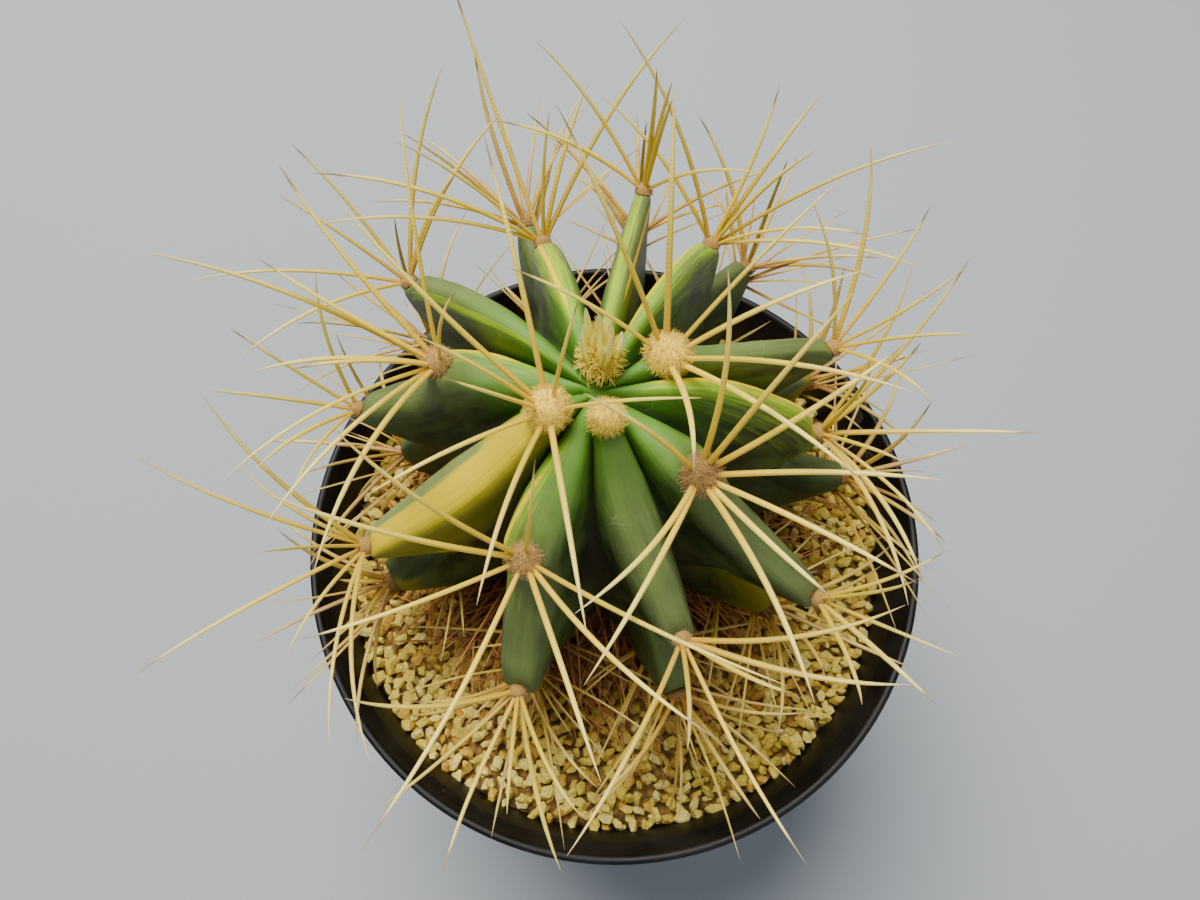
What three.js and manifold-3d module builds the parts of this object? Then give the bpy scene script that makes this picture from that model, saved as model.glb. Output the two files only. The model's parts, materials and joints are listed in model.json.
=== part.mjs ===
// A potted barrel cactus with long finger-like tubercles and straw-yellow spines.
// Millimetres and degrees, +Z up. The origin is the middle of the pot's underside.
// Bearings are counted from +X towards +Y, seen from above.

import * as THREE from "three";
import { mergeVertices } from "three/addons/utils/BufferGeometryUtils.js";
import Module from "manifold-3d";

const wasm = await Module();
wasm.setup();

// The pot
const POT_HEIGHT = 90;
const RIM_RADIUS = 52.5;
const COLLAR_HEIGHT = 6;
const COLLAR_STEP = 1.7;
const LIP_WIDTH = 2.4;
const LIP_ROUND = 0.8;
const DRAFT = 0.5;
const BASE_RADIUS = 37.5;
const WALL = 1.6;
const FLOOR = 2;
const FOOT_HEIGHT = 2;
const FOOT_WIDTH = 6;
const HUB_RADIUS = 11;
const DRAIN_HOLES = 8;
const DRAIN_RADIUS = 3.5;
const DRAIN_CIRCLE = 21;
const DRAIN_SIDES = 8;
const POT_SIDES = 40;

// What fills the pot
const GAP = 0.3;
const GRAVEL_LEVEL = 79;
const GRAVEL_DEPTH = 8;
const GRAIN_PITCH = 6.4;
const GRAIN_RELIEF = 1.6;
const GRAIN_PEAKS = [-0.05, 0.6];
const GRAIN_DIPS = [-0.75, -0.4];
const PEAK_SHIFT = 0.25;
const DIP_SHIFT = 0.12;
const GRAVEL_HOLE = 18.6;
const ROOT_RADIUS = 11.3;
const ROOT_END = 60;
const SOIL_SIDES = 24;

// The stem: where its axis stands, its crown, and the foot of its ribs
const AXIS_X = -3;
const AXIS_Y = 7;
const RIM_LEVEL = POT_HEIGHT;
const CROWN_UP = 46;
const CROWN_DIMPLE = 0.8;
const CROWN_OUT = 2;
const FOOT_OUT = 16.5;
const FOOT_UP = -13;
const NECK_UP = -17;
const TIP_LEVEL = 0.44;
const LOW_LEVEL = 0.7;
const FOOT_LEVEL = 0.88;
const NECK_LEVEL = 0.93;
const TIP_SPEED = 0.8;
const RIB_STEPS = 8;
const FULL_TURN = 360;
const LEVELS = [
  0, 0.04, 0.08, 0.12, 0.17, 0.22, 0.27, 0.32, 0.37, 0.41, TIP_LEVEL, 0.47, 0.51, 0.56, 0.61, 0.66,
  LOW_LEVEL, 0.73, 0.77, 0.82, FOOT_LEVEL, NECK_LEVEL, 1,
];

// How far down its rib's crest a young tubercle sits: at the axis, and more for each mm out
const YOUNG_LEVEL = 0.04;
const YOUNG_LEVEL_GROWTH = 0.0105;

// The shoulder of a rib with no young tubercle: parts of its way, the turn of its curve, its rise
const SHOULDER_PARTS = [0.25, 0.5, 0.75];
const SHOULDER_SWEEP = 60;
const SHOULDER_RISE = 1.5;

// The dip in a crest under a tubercle: parts of the way to the next one, and parts of its depth
const DIP = [
  [0.14, -0.35],
  [0.34, -1],
  [0.62, -0.45],
  [0.85, 0.02],
];
const YOUNG_DIP_SHARE = 0.13;
const OUTER_DIP = 7.5;

// The crest just under a low tubercle and just over the foot: level, out and up from there
const CHIN = [0.05, -3.5, -4.5];
const HEEL = [-0.05, 4, 5];

// How full the section of a rib is: level and exponent, 2 for an even oval and more for a
// blunter one
const FULLNESS = [
  [0, 2.1],
  [0.1, 3.1],
  [0.3, 3.1],
  [TIP_LEVEL, 4.2],
  [LOW_LEVEL, 3.8],
  [FOOT_LEVEL, 2.1],
];

// How much narrower than its valleys' spacing a rib is over its foot: level and share. It
// narrows evenly up to this part of the rib's height.
const PINCH = [
  [0, 0],
  [0.18, 0.05],
  [0.3, 0.26],
  [TIP_LEVEL, 0.5],
  [LOW_LEVEL, 0.52],
  [FOOT_LEVEL, 0],
];
const PINCH_HEIGHT = 0.45;

// How much of its sector a rib fills as it widens outwards: level and share. The ribs named
// under it are slimmer, with this part of that share.
const WEDGE = [
  [0, 0],
  [0.06, 0.35],
  [0.16, 0.75],
  [0.28, 0.6],
  [TIP_LEVEL, 0],
];
const SLIM_WEDGE = { a: -0.2, k: 0.1, j: 0, i: 0.1, h: 0.1, g: 0.15, d: 0.6 };

// The floor of the valleys between ribs: level, distance from the axis, height over the rim
const VALLEY = [
  [0, 1.6, 45.3],
  [0.1, 6, 42.5],
  [0.22, 12, 35],
  [0.33, 16, 27],
  [0.44, 18.5, 18],
  [0.58, 20, 9],
  [0.7, 19.5, 2],
  [0.82, 17, -7],
  [0.88, 14, -13],
  [0.93, 10.8, -17],
  [1, 10.8, -29.7],
];

// The areoles
const PAD_HEIGHT = 1.9;
const PAD_SIDES = 8;
const PAD_OUTLINE = [
  [0.95, 0],
  [1, 0.45],
  [0.6, 0.9],
  [0, 1],
];
const SEAT_DEPTH = 1;
const SEAT_FLARE = 2.4;
const SEAT_ROOM = 5;
const SPINE_RADIUS = 0.6;
const SPINE_BOW = 0.14;
const SPINE_ROOT_OUT = 0.5;
const SPINE_ROOT_UP = 0.1;
const SPINE_SIDES = 3;
const SPINE_STATIONS = [
  [0, 1],
  [0.4, 0.9],
  [0.78, 0.62],
];
const WIDEST_LEAN = 72;
const SPINE_CLEARANCE = 1.9;
const GRAVEL_CLEARANCE = 1;
const RIM_CLEARANCE = 1.4;
const OWN_REACH = 6;
const SAMPLE_STEP = 1.5;

// One tubercle: its tip's bearing, its distance out from the stem's axis, its height over the
// rim, how far its areole looks up, the radius of its wool pad, and its spines, each with a
// bearing, a rise over the level and a length.
function tubercle(bearing, out, up, tilt, pad, spines) {
  return { bearing, out, up, tilt, pad, spines };
}

// The ribs in order round the stem. Their tubercles run from the crown down. A rib has one
// in the outer ring, one in the low ring under it, and some have a young one near the crown.
const RIBS = [
  {
    name: "a",
    young: [],
    outer: tubercle(5, 34.5, 23, 35, 1.8, [
      [60, 40, 27], [45, 45, 32], [-10, 25, 30], [-55, 15, 25], [-65, 10, 26],
      [40, 80, 20], [-85, 15, 30], [-60, 55, 20], [30, 60, 22],
    ]),
    low: tubercle(0, 41, 10, 10, 1.6, []),
  },
  {
    name: "k",
    young: [
      tubercle(28, 10.5, 46.5, 72, 3, [
        [130, 55, 34], [170, 40, 24], [90, 45, 31], [35, 40, 29], [15, 25, 25],
        [-25, 30, 31], [-45, 20, 30], [-85, 30, 21],
      ]),
    ],
    outer: tubercle(21, 38, 31, 40, 1.8, [
      [115, 50, 22], [85, 45, 28], [45, 40, 23], [15, 45, 22], [-20, 20, 26], [-60, 15, 25],
    ]),
    low: tubercle(26, 40, 10, 5, 1.7, []),
  },
  {
    name: "j",
    young: [],
    outer: tubercle(60, 35.5, 32, 40, 1.8, [
      [130, 50, 34], [140, 35, 27], [60, 50, 24], [45, 40, 26], [15, 55, 22],
      [5, 35, 36], [-15, 30, 25], [-25, 15, 31],
    ]),
    low: tubercle(53, 41.5, 21, 15, 1.7, []),
  },
  {
    name: "i",
    young: [
      tubercle(81, 3.6, 48, 80, 2.4, [
        [60, 80, 9], [140, 65, 8], [210, 60, 8], [0, 65, 8], [280, 60, 7], [100, 70, 10],
      ]),
    ],
    outer: tubercle(79, 37.5, 37, 45, 1.7, [
      [145, 45, 26], [55, 50, 23], [80, 65, 20], [30, 55, 22], [180, 35, 25],
      [170, 20, 20], [-30, 40, 21],
    ]),
    low: tubercle(80, 41, 20, 15, 1.7, []),
  },
  {
    name: "h",
    young: [],
    outer: tubercle(105, 32.5, 31.5, 42, 1.8, [
      [115, 45, 37], [60, 45, 23], [80, 60, 20], [40, 40, 37], [-175, 35, 35],
      [-165, 25, 34], [175, 50, 28],
    ]),
    low: tubercle(107, 41, 24, 20, 1.7, [
      [110, 45, 27], [165, 45, 24], [140, 10, 24], [180, 15, 24], [60, 20, 22], [85, 5, 24],
    ]),
  },
  {
    name: "g",
    young: [],
    outer: tubercle(139, 38.5, 30, 40, 1.8, [
      [70, 45, 31], [45, 40, 29], [140, 45, 25], [160, 40, 22], [-165, 25, 30],
      [-130, 15, 28], [30, 45, 22],
    ]),
    low: tubercle(140, 37, 12, 10, 1.7, []),
  },
  {
    name: "f",
    young: [
      tubercle(162, 23, 39.5, 58, 2.2, [
        [95, 45, 34], [135, 40, 31], [160, 35, 26], [170, 30, 38], [-150, 45, 22],
        [-165, 25, 23], [-135, 25, 32], [-125, 15, 31], [-105, 20, 35], [0, 75, 20],
      ]),
    ],
    outer: tubercle(170, 37.5, 24, 38, 1.6, [
      [160, 50, 22], [-170, 40, 22], [100, 50, 22], [-125, 35, 20], [-105, 30, 20],
    ]),
    low: tubercle(170, 33, 6, 0, 1.6, []),
  },
  {
    name: "e",
    young: [
      tubercle(-153, 6.8, 47.5, 78, 3, [
        [105, 45, 32], [145, 40, 34], [175, 55, 21], [-145, 20, 24], [-105, 15, 26],
        [-80, 15, 29], [-15, 40, 22], [55, 45, 23], [-160, 60, 20],
      ]),
    ],
    outer: tubercle(-159, 38, 18, 32, 1.8, [
      [165, 40, 34], [135, 45, 32], [150, 20, 21], [-140, 25, 35], [-90, 15, 30],
      [-70, 15, 33], [-110, 30, 21], [-150, 60, 20],
    ]),
    low: tubercle(-153, 37.5, 8, 5, 1.7, []),
  },
  {
    name: "d",
    young: [
      tubercle(-114, 22.5, 39.5, 58, 2.2, [
        [70, 70, 20], [155, 45, 31], [175, 40, 33], [-155, 20, 28], [-115, 15, 37],
        [-70, 20, 29], [-30, 25, 36], [-45, 20, 32],
      ]),
    ],
    outer: tubercle(-108, 37, 18, 25, 1.6, [
      [-110, 15, 25], [-90, 35, 19], [-175, 25, 24], [-60, 30, 21], [-140, 0, 24], [-75, -5, 24],
    ]),
    low: tubercle(-110, 34, 4, 0, 1.6, []),
  },
  {
    name: "c",
    young: [tubercle(-73, 4.6, 48, 85, 2.3, [])],
    outer: tubercle(-68, 31.5, 28, 42, 1.7, [
      [-65, 20, 31], [-120, 20, 31], [5, 30, 29], [-15, 25, 29], [-35, 45, 20], [-95, 50, 22],
    ]),
    low: tubercle(-70, 37, 8, 5, 1.7, []),
  },
  {
    name: "b",
    young: [
      tubercle(-38, 17, 43.5, 62, 2.6, [
        [85, 50, 26], [40, 50, 31], [25, 35, 29], [-10, 25, 28], [-35, 20, 28],
        [-50, 15, 22], [-75, 20, 31], [-130, 20, 25], [-115, 15, 30], [155, 50, 22],
      ]),
    ],
    outer: tubercle(-34, 39.5, 20, 30, 1.7, [
      [-85, 40, 20], [-30, 25, 20], [15, 45, 20], [-50, 20, 21], [-10, 60, 22],
    ]),
    low: tubercle(-36, 35, 5, 5, 1.7, []),
  },
];
const BARE_YOUNG = "c";

// Spines of the low ring follow a rule: a fan round the areole and one in its middle
const FAN_COUNT = 6;
const FAN_LEAN = 60;
const FAN_LEAN_SPREAD = 8;
const FAN_MIDDLE_LEAN = 12;
const FAN_TURN_SPREAD = 0.3;
const FAN_SHORTEST = 19;
const FAN_LONGEST = 26;
const SEED = 4217;

// Colour and roughness
const FINISHES = {
  pot: [0x17181a, 0.45],
  soil: [0x3a2c20, 1],
  gravel: [0xcdb274, 0.95],
  stem: [0x5c7b55, 0.7],
  wool: [0xe3c48c, 1],
  spines: [0xd9c070, 0.6],
};

const radians = (degrees) => (degrees * Math.PI) / 180;
const degrees = (turn) => (turn * 180) / Math.PI;
const between = ([low, high], part) => low + (high - low) * part;

// A repeatable run of numbers from 0 to 1
function makeRandom(seed) {
  let state = seed;
  return () => {
    state = (state * 16807) % 2147483647;
    return state / 2147483647;
  };
}

// Solids and meshes

function solidOf(geometry) {
  const bare = geometry.clone();
  bare.deleteAttribute("normal");
  bare.deleteAttribute("uv");
  const merged = mergeVertices(bare, 1e-4);
  return new wasm.Manifold(
    new wasm.Mesh({
      numProp: 3,
      vertProperties: new Float32Array(merged.attributes.position.array),
      triVerts: new Uint32Array(merged.index.array),
    }),
  );
}

function geometryOf(solid) {
  const { vertProperties, triVerts } = solid.getMesh();
  const geometry = new THREE.BufferGeometry();
  geometry.setAttribute("position", new THREE.BufferAttribute(new Float32Array(vertProperties), 3));
  geometry.setIndex(new THREE.BufferAttribute(new Uint32Array(triVerts), 1));
  geometry.computeVertexNormals();
  return geometry;
}

function meshOf(name, solid, finish) {
  const [color, roughness] = FINISHES[finish];
  const material = new THREE.MeshStandardMaterial({ color, roughness, metalness: 0 });
  const mesh = new THREE.Mesh(geometryOf(solid), material);
  mesh.name = name;
  return mesh;
}

function turned(profile, sides) {
  return new THREE.LatheGeometry(
    profile.map(([r, z]) => new THREE.Vector2(r, z)),
    sides,
  ).rotateX(Math.PI / 2);
}

// A closed skin over rings of equal length, with a point closing the first and the last ring
function skinOf(rings, firstPoint, lastPoint) {
  const positions = [];
  const index = [];
  const count = rings[0].length;
  rings.flat().forEach((p) => positions.push(p.x, p.y, p.z));
  const first = positions.length / 3;
  positions.push(firstPoint.x, firstPoint.y, firstPoint.z);
  const last = first + 1;
  positions.push(lastPoint.x, lastPoint.y, lastPoint.z);
  for (let k = 0; k < count; k += 1) {
    const next = (k + 1) % count;
    index.push(first, k, next);
    for (let level = 0; level < rings.length - 1; level += 1) {
      const here = level * count;
      const there = here + count;
      index.push(here + k, there + k, here + next);
      index.push(here + next, there + k, there + next);
    }
    const edge = (rings.length - 1) * count;
    index.push(edge + k, last, edge + next);
  }
  const geometry = new THREE.BufferGeometry();
  geometry.setAttribute("position", new THREE.Float32BufferAttribute(positions, 3));
  geometry.setIndex(index);
  return geometry;
}

// The pot and what fills it

// Inner radius of the pot's wall at a height
function innerRadius(z) {
  const top = RIM_RADIUS - LIP_WIDTH;
  return BASE_RADIUS - WALL + ((top - BASE_RADIUS + WALL) * z) / POT_HEIGHT;
}

function potProfile() {
  const collarFoot = POT_HEIGHT - COLLAR_HEIGHT;
  const inside = innerRadius(POT_HEIGHT);
  const floorTop = FOOT_HEIGHT + FLOOR;
  return [
    [0, 0],
    [HUB_RADIUS, 0],
    [HUB_RADIUS + DRAFT, FOOT_HEIGHT],
    [BASE_RADIUS - FOOT_WIDTH - DRAFT, FOOT_HEIGHT],
    [BASE_RADIUS - FOOT_WIDTH, 0],
    [BASE_RADIUS, 0],
    [RIM_RADIUS - COLLAR_STEP, collarFoot],
    [RIM_RADIUS - DRAFT, collarFoot + DRAFT],
    [RIM_RADIUS, POT_HEIGHT - LIP_ROUND],
    [RIM_RADIUS - LIP_ROUND, POT_HEIGHT],
    [inside + LIP_ROUND, POT_HEIGHT],
    [inside, POT_HEIGHT - LIP_ROUND],
    [innerRadius(floorTop), floorTop],
    [0, floorTop],
  ];
}

function makePot() {
  let solid = solidOf(turned(potProfile(), POT_SIDES));
  for (let k = 0; k < DRAIN_HOLES; k += 1) {
    const turn = ((k + 0.5) * 2 * Math.PI) / DRAIN_HOLES;
    const drill = new THREE.CylinderGeometry(DRAIN_RADIUS, DRAIN_RADIUS, 4 * FLOOR, DRAIN_SIDES)
      .rotateX(Math.PI / 2)
      .translate(DRAIN_CIRCLE * Math.cos(turn), DRAIN_CIRCLE * Math.sin(turn), FOOT_HEIGHT + FLOOR / 2);
    solid = solid.subtract(solidOf(drill));
  }
  return meshOf("pot", solid, "pot");
}

function makeSoil() {
  const bottom = FOOT_HEIGHT + FLOOR + GAP;
  const top = GRAVEL_LEVEL - GRAVEL_DEPTH - GAP;
  const hole = new THREE.CylinderGeometry(ROOT_RADIUS + GAP, ROOT_RADIUS + GAP, POT_HEIGHT, SOIL_SIDES)
    .rotateX(Math.PI / 2)
    .translate(AXIS_X, AXIS_Y, ROOT_END - GAP + POT_HEIGHT / 2);
  const body = turned(
    [[0, bottom], [innerRadius(bottom) - GAP, bottom], [innerRadius(top) - GAP, top], [0, top]],
    SOIL_SIDES,
  );
  return meshOf("soil", solidOf(body).subtract(solidOf(hole)), "soil");
}

// A slab whose top is covered with grains: a triangular net in which every third point is the
// peak of a grain and the points round it lie in the dips between grains
function grainSlab() {
  const random = makeRandom(SEED);
  const step = GRAIN_PITCH / Math.sqrt(3);
  const rowHeight = (step * Math.sqrt(3)) / 2;
  const half = Math.ceil(RIM_RADIUS / rowHeight);
  const columns = Math.ceil(RIM_RADIUS / step) + 1;
  const rows = [];
  for (let row = -half; row <= half; row += 1) {
    const line = [];
    for (let column = -columns; column <= columns; column += 1) {
      const isPeak = (((column - row) % 3) + 3) % 3 === 0;
      const rowShift = (Math.abs(row % 2) * step) / 2;
      const skew = (isPeak ? PEAK_SHIFT : DIP_SHIFT) * step;
      const x = column * step + rowShift + (random() - 0.5) * skew;
      const y = row * rowHeight + (random() - 0.5) * skew;
      const lift = GRAIN_RELIEF * between(isPeak ? GRAIN_PEAKS : GRAIN_DIPS, random());
      line.push(new THREE.Vector3(x, y, GRAVEL_LEVEL + lift));
    }
    rows.push(line);
  }
  return slabUnder(rows, GRAVEL_LEVEL - 2 * GRAVEL_DEPTH);
}

// Closes a net of points downwards into a slab with a flat underside
function slabUnder(rows, bottom) {
  const width = rows[0].length;
  const positions = [];
  const index = [];
  rows.flat().forEach((p) => positions.push(p.x, p.y, p.z));
  rows.flat().forEach((p) => positions.push(p.x, p.y, bottom));
  const under = rows.length * width;
  const at = (row, column) => row * width + column;
  const quad = (a, b, c, d) => index.push(a, b, c, a, c, d);
  const lastRow = rows.length - 1;
  const side = width - 1;
  for (let row = 0; row < lastRow; row += 1) {
    const leansRight = Math.abs(row - lastRow / 2) % 2 === 0;
    for (let column = 0; column < side; column += 1) {
      const [a, b] = [at(row, column), at(row, column + 1)];
      const [c, d] = [at(row + 1, column + 1), at(row + 1, column)];
      if (leansRight) {
        index.push(a, b, d, b, c, d);
      } else {
        index.push(a, b, c, a, c, d);
      }
      index.push(under + a, under + d, under + b, under + b, under + d, under + c);
    }
  }
  for (let column = 0; column < side; column += 1) {
    const [near, nearNext] = [at(0, column), at(0, column + 1)];
    const [far, farNext] = [at(lastRow, column), at(lastRow, column + 1)];
    quad(near, under + near, under + nearNext, nearNext);
    quad(far, farNext, under + farNext, under + far);
  }
  for (let row = 0; row < lastRow; row += 1) {
    const [left, leftNext] = [at(row, 0), at(row + 1, 0)];
    const [right, rightNext] = [at(row, side), at(row + 1, side)];
    quad(left, leftNext, under + leftNext, under + left);
    quad(right, under + right, under + rightNext, rightNext);
  }
  const geometry = new THREE.BufferGeometry();
  geometry.setAttribute("position", new THREE.Float32BufferAttribute(positions, 3));
  geometry.setIndex(index);
  return geometry;
}

function makeGravel() {
  const bottom = GRAVEL_LEVEL - GRAVEL_DEPTH;
  const top = GRAVEL_LEVEL + 2 * GRAIN_RELIEF;
  const disc = turned(
    [[0, bottom], [innerRadius(bottom) - GAP, bottom], [innerRadius(top) - GAP, top], [0, top]],
    POT_SIDES,
  );
  const hole = new THREE.CylinderGeometry(GRAVEL_HOLE, GRAVEL_HOLE, POT_HEIGHT, SOIL_SIDES)
    .rotateX(Math.PI / 2)
    .translate(AXIS_X, AXIS_Y, GRAVEL_LEVEL);
  const solid = solidOf(grainSlab()).intersect(solidOf(disc)).subtract(solidOf(hole));
  return meshOf("gravel", solid, "gravel");
}

// The stem

// The slope of a curve at one of its knots. A tip's knot ends in the way its areole looks up,
// and there the curve runs square to that.
function slopeAt(knots, m) {
  const before = knots[Math.max(m - 1, 0)];
  const after = knots[Math.min(m + 1, knots.length - 1)];
  const slope = [1, 2].map((axis) => (after[axis] - before[axis]) / (after[0] - before[0]));
  if (knots[m].length < 4) {
    return slope;
  }
  const tilt = radians(knots[m][3]);
  const speed = TIP_SPEED * Math.hypot(slope[0], slope[1]);
  return [speed * Math.sin(tilt), -speed * Math.cos(tilt)];
}

// A smooth curve through knots: each knot is a level and two values, such as out and up
function curveAt(knots, level) {
  let k = 0;
  while (k < knots.length - 2 && level > knots[k + 1][0]) {
    k += 1;
  }
  const span = knots[k + 1][0] - knots[k][0];
  const t = Math.min(Math.max((level - knots[k][0]) / span, 0), 1);
  const [leave, arrive] = [slopeAt(knots, k), slopeAt(knots, k + 1)];
  return [1, 2].map((axis) => {
    const [from, to] = [knots[k][axis], knots[k + 1][axis]];
    const bends = leave[axis - 1] * t * (1 - t) ** 2 - arrive[axis - 1] * t * t * (1 - t);
    return from + (to - from) * t * t * (3 - 2 * t) + bends * span;
  });
}

// A value that changes evenly between knots of a level and a value
function evenlyAt(knots, level) {
  let k = 0;
  while (k < knots.length - 2 && level > knots[k + 1][0]) {
    k += 1;
  }
  const part = (level - knots[k][0]) / (knots[k + 1][0] - knots[k][0]);
  return knots[k][1] + (knots[k + 1][1] - knots[k][1]) * Math.min(Math.max(part, 0), 1);
}

function youngLevel(out) {
  return YOUNG_LEVEL + YOUNG_LEVEL_GROWTH * out;
}

// The bearing of a crest changes evenly from tubercle to tubercle
function crestBearings(rib) {
  const knots = rib.young.map((t) => [youngLevel(t.out), t.bearing]);
  const first = knots.length > 0 ? knots[0][1] : rib.outer.bearing;
  knots.push([TIP_LEVEL, rib.outer.bearing]);
  knots.push([LOW_LEVEL, rib.low.bearing]);
  return [[0, first], ...knots];
}

// The dip under a tubercle, before the crest swings out to the next one
function dipKnots(above, aboveLevel, below, belowLevel, depth) {
  const along = [below.out - above.out, below.up - above.up];
  const length = Math.hypot(along[0], along[1]);
  const outward = [-along[1] / length, along[0] / length];
  return DIP.map(([part, push]) => [
    between([aboveLevel, belowLevel], part),
    above.out + along[0] * part + outward[0] * push * depth,
    above.up + along[1] * part + outward[1] * push * depth,
  ]);
}

// A rounded slope from the crown to the tip
function shoulderKnots(tip) {
  const sweep = radians(SHOULDER_SWEEP);
  return SHOULDER_PARTS.map((part) => {
    const outPart = Math.sin(sweep * part) / Math.sin(sweep);
    const upPart = (Math.cos(sweep * part) - Math.cos(sweep)) / (1 - Math.cos(sweep));
    return [
      TIP_LEVEL * part,
      between([CROWN_OUT, tip.out], outPart),
      between([tip.up, CROWN_UP + SHOULDER_RISE], upPart),
    ];
  });
}

function crestKnots(rib) {
  const { outer, low } = rib;
  const knots = [[0, CROWN_OUT, CROWN_UP]];
  if (rib.young.length === 0) {
    knots.push(...shoulderKnots(outer));
  }
  rib.young.forEach((t) => {
    const level = youngLevel(t.out);
    knots.push([level, t.out, t.up, t.tilt]);
    knots.push(...dipKnots(t, level, outer, TIP_LEVEL, YOUNG_DIP_SHARE * t.out));
  });
  knots.push([TIP_LEVEL, outer.out, outer.up, outer.tilt]);
  knots.push(...dipKnots(outer, TIP_LEVEL, low, LOW_LEVEL, OUTER_DIP));
  knots.push([LOW_LEVEL, low.out, low.up, low.tilt]);
  knots.push([LOW_LEVEL + CHIN[0], low.out + CHIN[1], low.up + CHIN[2]]);
  knots.push([FOOT_LEVEL + HEEL[0], FOOT_OUT + HEEL[1], FOOT_UP + HEEL[2]]);
  knots.push([FOOT_LEVEL, FOOT_OUT, FOOT_UP]);
  knots.push([NECK_LEVEL, ROOT_RADIUS, NECK_UP]);
  knots.push([1, ROOT_RADIUS, ROOT_END - RIM_LEVEL]);
  return knots;
}

function stemPoint(bearing, out, up) {
  const turn = radians(bearing);
  return new THREE.Vector3(AXIS_X + out * Math.cos(turn), AXIS_Y + out * Math.sin(turn), RIM_LEVEL + up);
}

// A point on a rib between its two valleys; side runs from -1 through the crest at 0 to 1.
// The section is an even oval at the crown, and blunter and narrower at the fingers. Between
// them it widens outwards by this much more than an even section does.
function ribPoint(crest, right, left, side, level, widening) {
  const power = 2 / evenlyAt(FULLNESS, level);
  const turn = (side * Math.PI) / 2;
  const outward = Math.max(Math.cos(turn), 0) ** power;
  const pinch = evenlyAt(PINCH, level) * Math.min(outward / PINCH_HEIGHT, 1);
  const width = (1 - pinch) * (1 + widening * outward);
  const across = Math.sign(side) * Math.abs(Math.sin(turn)) ** power * width;
  const middle = right.clone().add(left).multiplyScalar(0.5);
  const half = left.clone().sub(right).multiplyScalar(0.5);
  return middle.clone().addScaledVector(crest.clone().sub(middle), outward).addScaledVector(half, across);
}

// All rings of the stem, from the crown down, with the ribs in order of their bearing
function stemRings() {
  const crests = RIBS.map(crestKnots);
  const bearings = RIBS.map(crestBearings);
  return LEVELS.map((level) => {
    const turns = bearings.map((knots) => evenlyAt(knots, level));
    const [valleyOut, valleyUp] = curveAt(VALLEY, level);
    const valleyBefore = (k) => {
      const before = turns[(k + RIBS.length - 1) % RIBS.length];
      const gap = (turns[k] - before + 2 * FULL_TURN) % FULL_TURN;
      return stemPoint(before + gap / 2, valleyOut, valleyUp);
    };
    return RIBS.flatMap((rib, k) => {
      const [out, up] = curveAt(crests[k], level);
      const share = rib.name in SLIM_WEDGE ? SLIM_WEDGE[rib.name] : 1;
      const widening = share * evenlyAt(WEDGE, level) * Math.max(out / valleyOut - 1, 0);
      const crest = stemPoint(turns[k], out, up);
      const right = valleyBefore(k);
      const left = valleyBefore((k + 1) % RIBS.length);
      const points = [];
      for (let step = 0; step < RIB_STEPS; step += 1) {
        const side = (2 * step) / RIB_STEPS - 1;
        points.push(ribPoint(crest, right, left, side, level, widening));
      }
      return points;
    });
  });
}

// The areoles

// Where an areole sits and which way it looks
function seatOf(t) {
  const turn = radians(t.bearing);
  const tilt = radians(t.tilt);
  return {
    point: stemPoint(t.bearing, t.out, t.up),
    normal: new THREE.Vector3(
      Math.cos(tilt) * Math.cos(turn),
      Math.cos(tilt) * Math.sin(turn),
      Math.sin(tilt),
    ),
  };
}

function placedOn(geometry, seat) {
  const turn = new THREE.Quaternion().setFromUnitVectors(new THREE.Vector3(0, 0, 1), seat.normal);
  return geometry.applyQuaternion(turn).translate(seat.point.x, seat.point.y, seat.point.z);
}

// The flat seat of a wool pad, with a shallow flare above it that the spines lean over
function seatCutter(t) {
  const seat = t.pad + GAP;
  const flare = turned(
    [
      [0, -SEAT_DEPTH],
      [seat, -SEAT_DEPTH],
      [seat, 0],
      [seat + SEAT_FLARE, SEAT_FLARE / Math.tan(radians(WIDEST_LEAN))],
      [seat + SEAT_FLARE, SEAT_ROOM],
      [0, SEAT_ROOM],
    ],
    PAD_SIDES,
  );
  return solidOf(placedOn(flare, seatOf(t)));
}

function padSolid(t) {
  const foot = GAP - SEAT_DEPTH;
  const outline = PAD_OUTLINE.map(([out, up]) => [out * t.pad, foot + up * PAD_HEIGHT]);
  return solidOf(placedOn(turned([[0, foot], ...outline], PAD_SIDES), seatOf(t)));
}

function directionOf(bearing, rise) {
  const [turn, lift] = [radians(bearing), radians(rise)];
  const level = Math.cos(lift);
  return new THREE.Vector3(level * Math.cos(turn), level * Math.sin(turn), Math.sin(lift));
}

// A spine never leans further from its areole's normal than this, so it clears its own rib
function leanLimited(direction, normal) {
  const lean = direction.angleTo(normal);
  const widest = radians(WIDEST_LEAN);
  if (lean <= widest) {
    return direction;
  }
  const side = direction.clone().addScaledVector(normal, -direction.dot(normal)).normalize();
  return side.multiplyScalar(Math.sin(widest)).addScaledVector(normal, Math.cos(widest));
}

// The middle line of a spine: it leaves its areole steeply and arches over to its own direction
function spineLine(t, bearing, rise, length) {
  const { point, normal } = seatOf(t);
  const direction = leanLimited(directionOf(bearing, rise), normal);
  const flat = direction.clone().addScaledVector(normal, -direction.dot(normal));
  const root = point
    .clone()
    .addScaledVector(flat, SPINE_ROOT_OUT * t.pad)
    .addScaledVector(normal, SPINE_ROOT_UP);
  const tip = root.clone().addScaledVector(direction, length);
  const bend = root.clone().add(tip).multiplyScalar(0.5).addScaledVector(normal, SPINE_BOW * length);
  return new THREE.QuadraticBezierCurve3(root, bend, tip);
}

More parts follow.
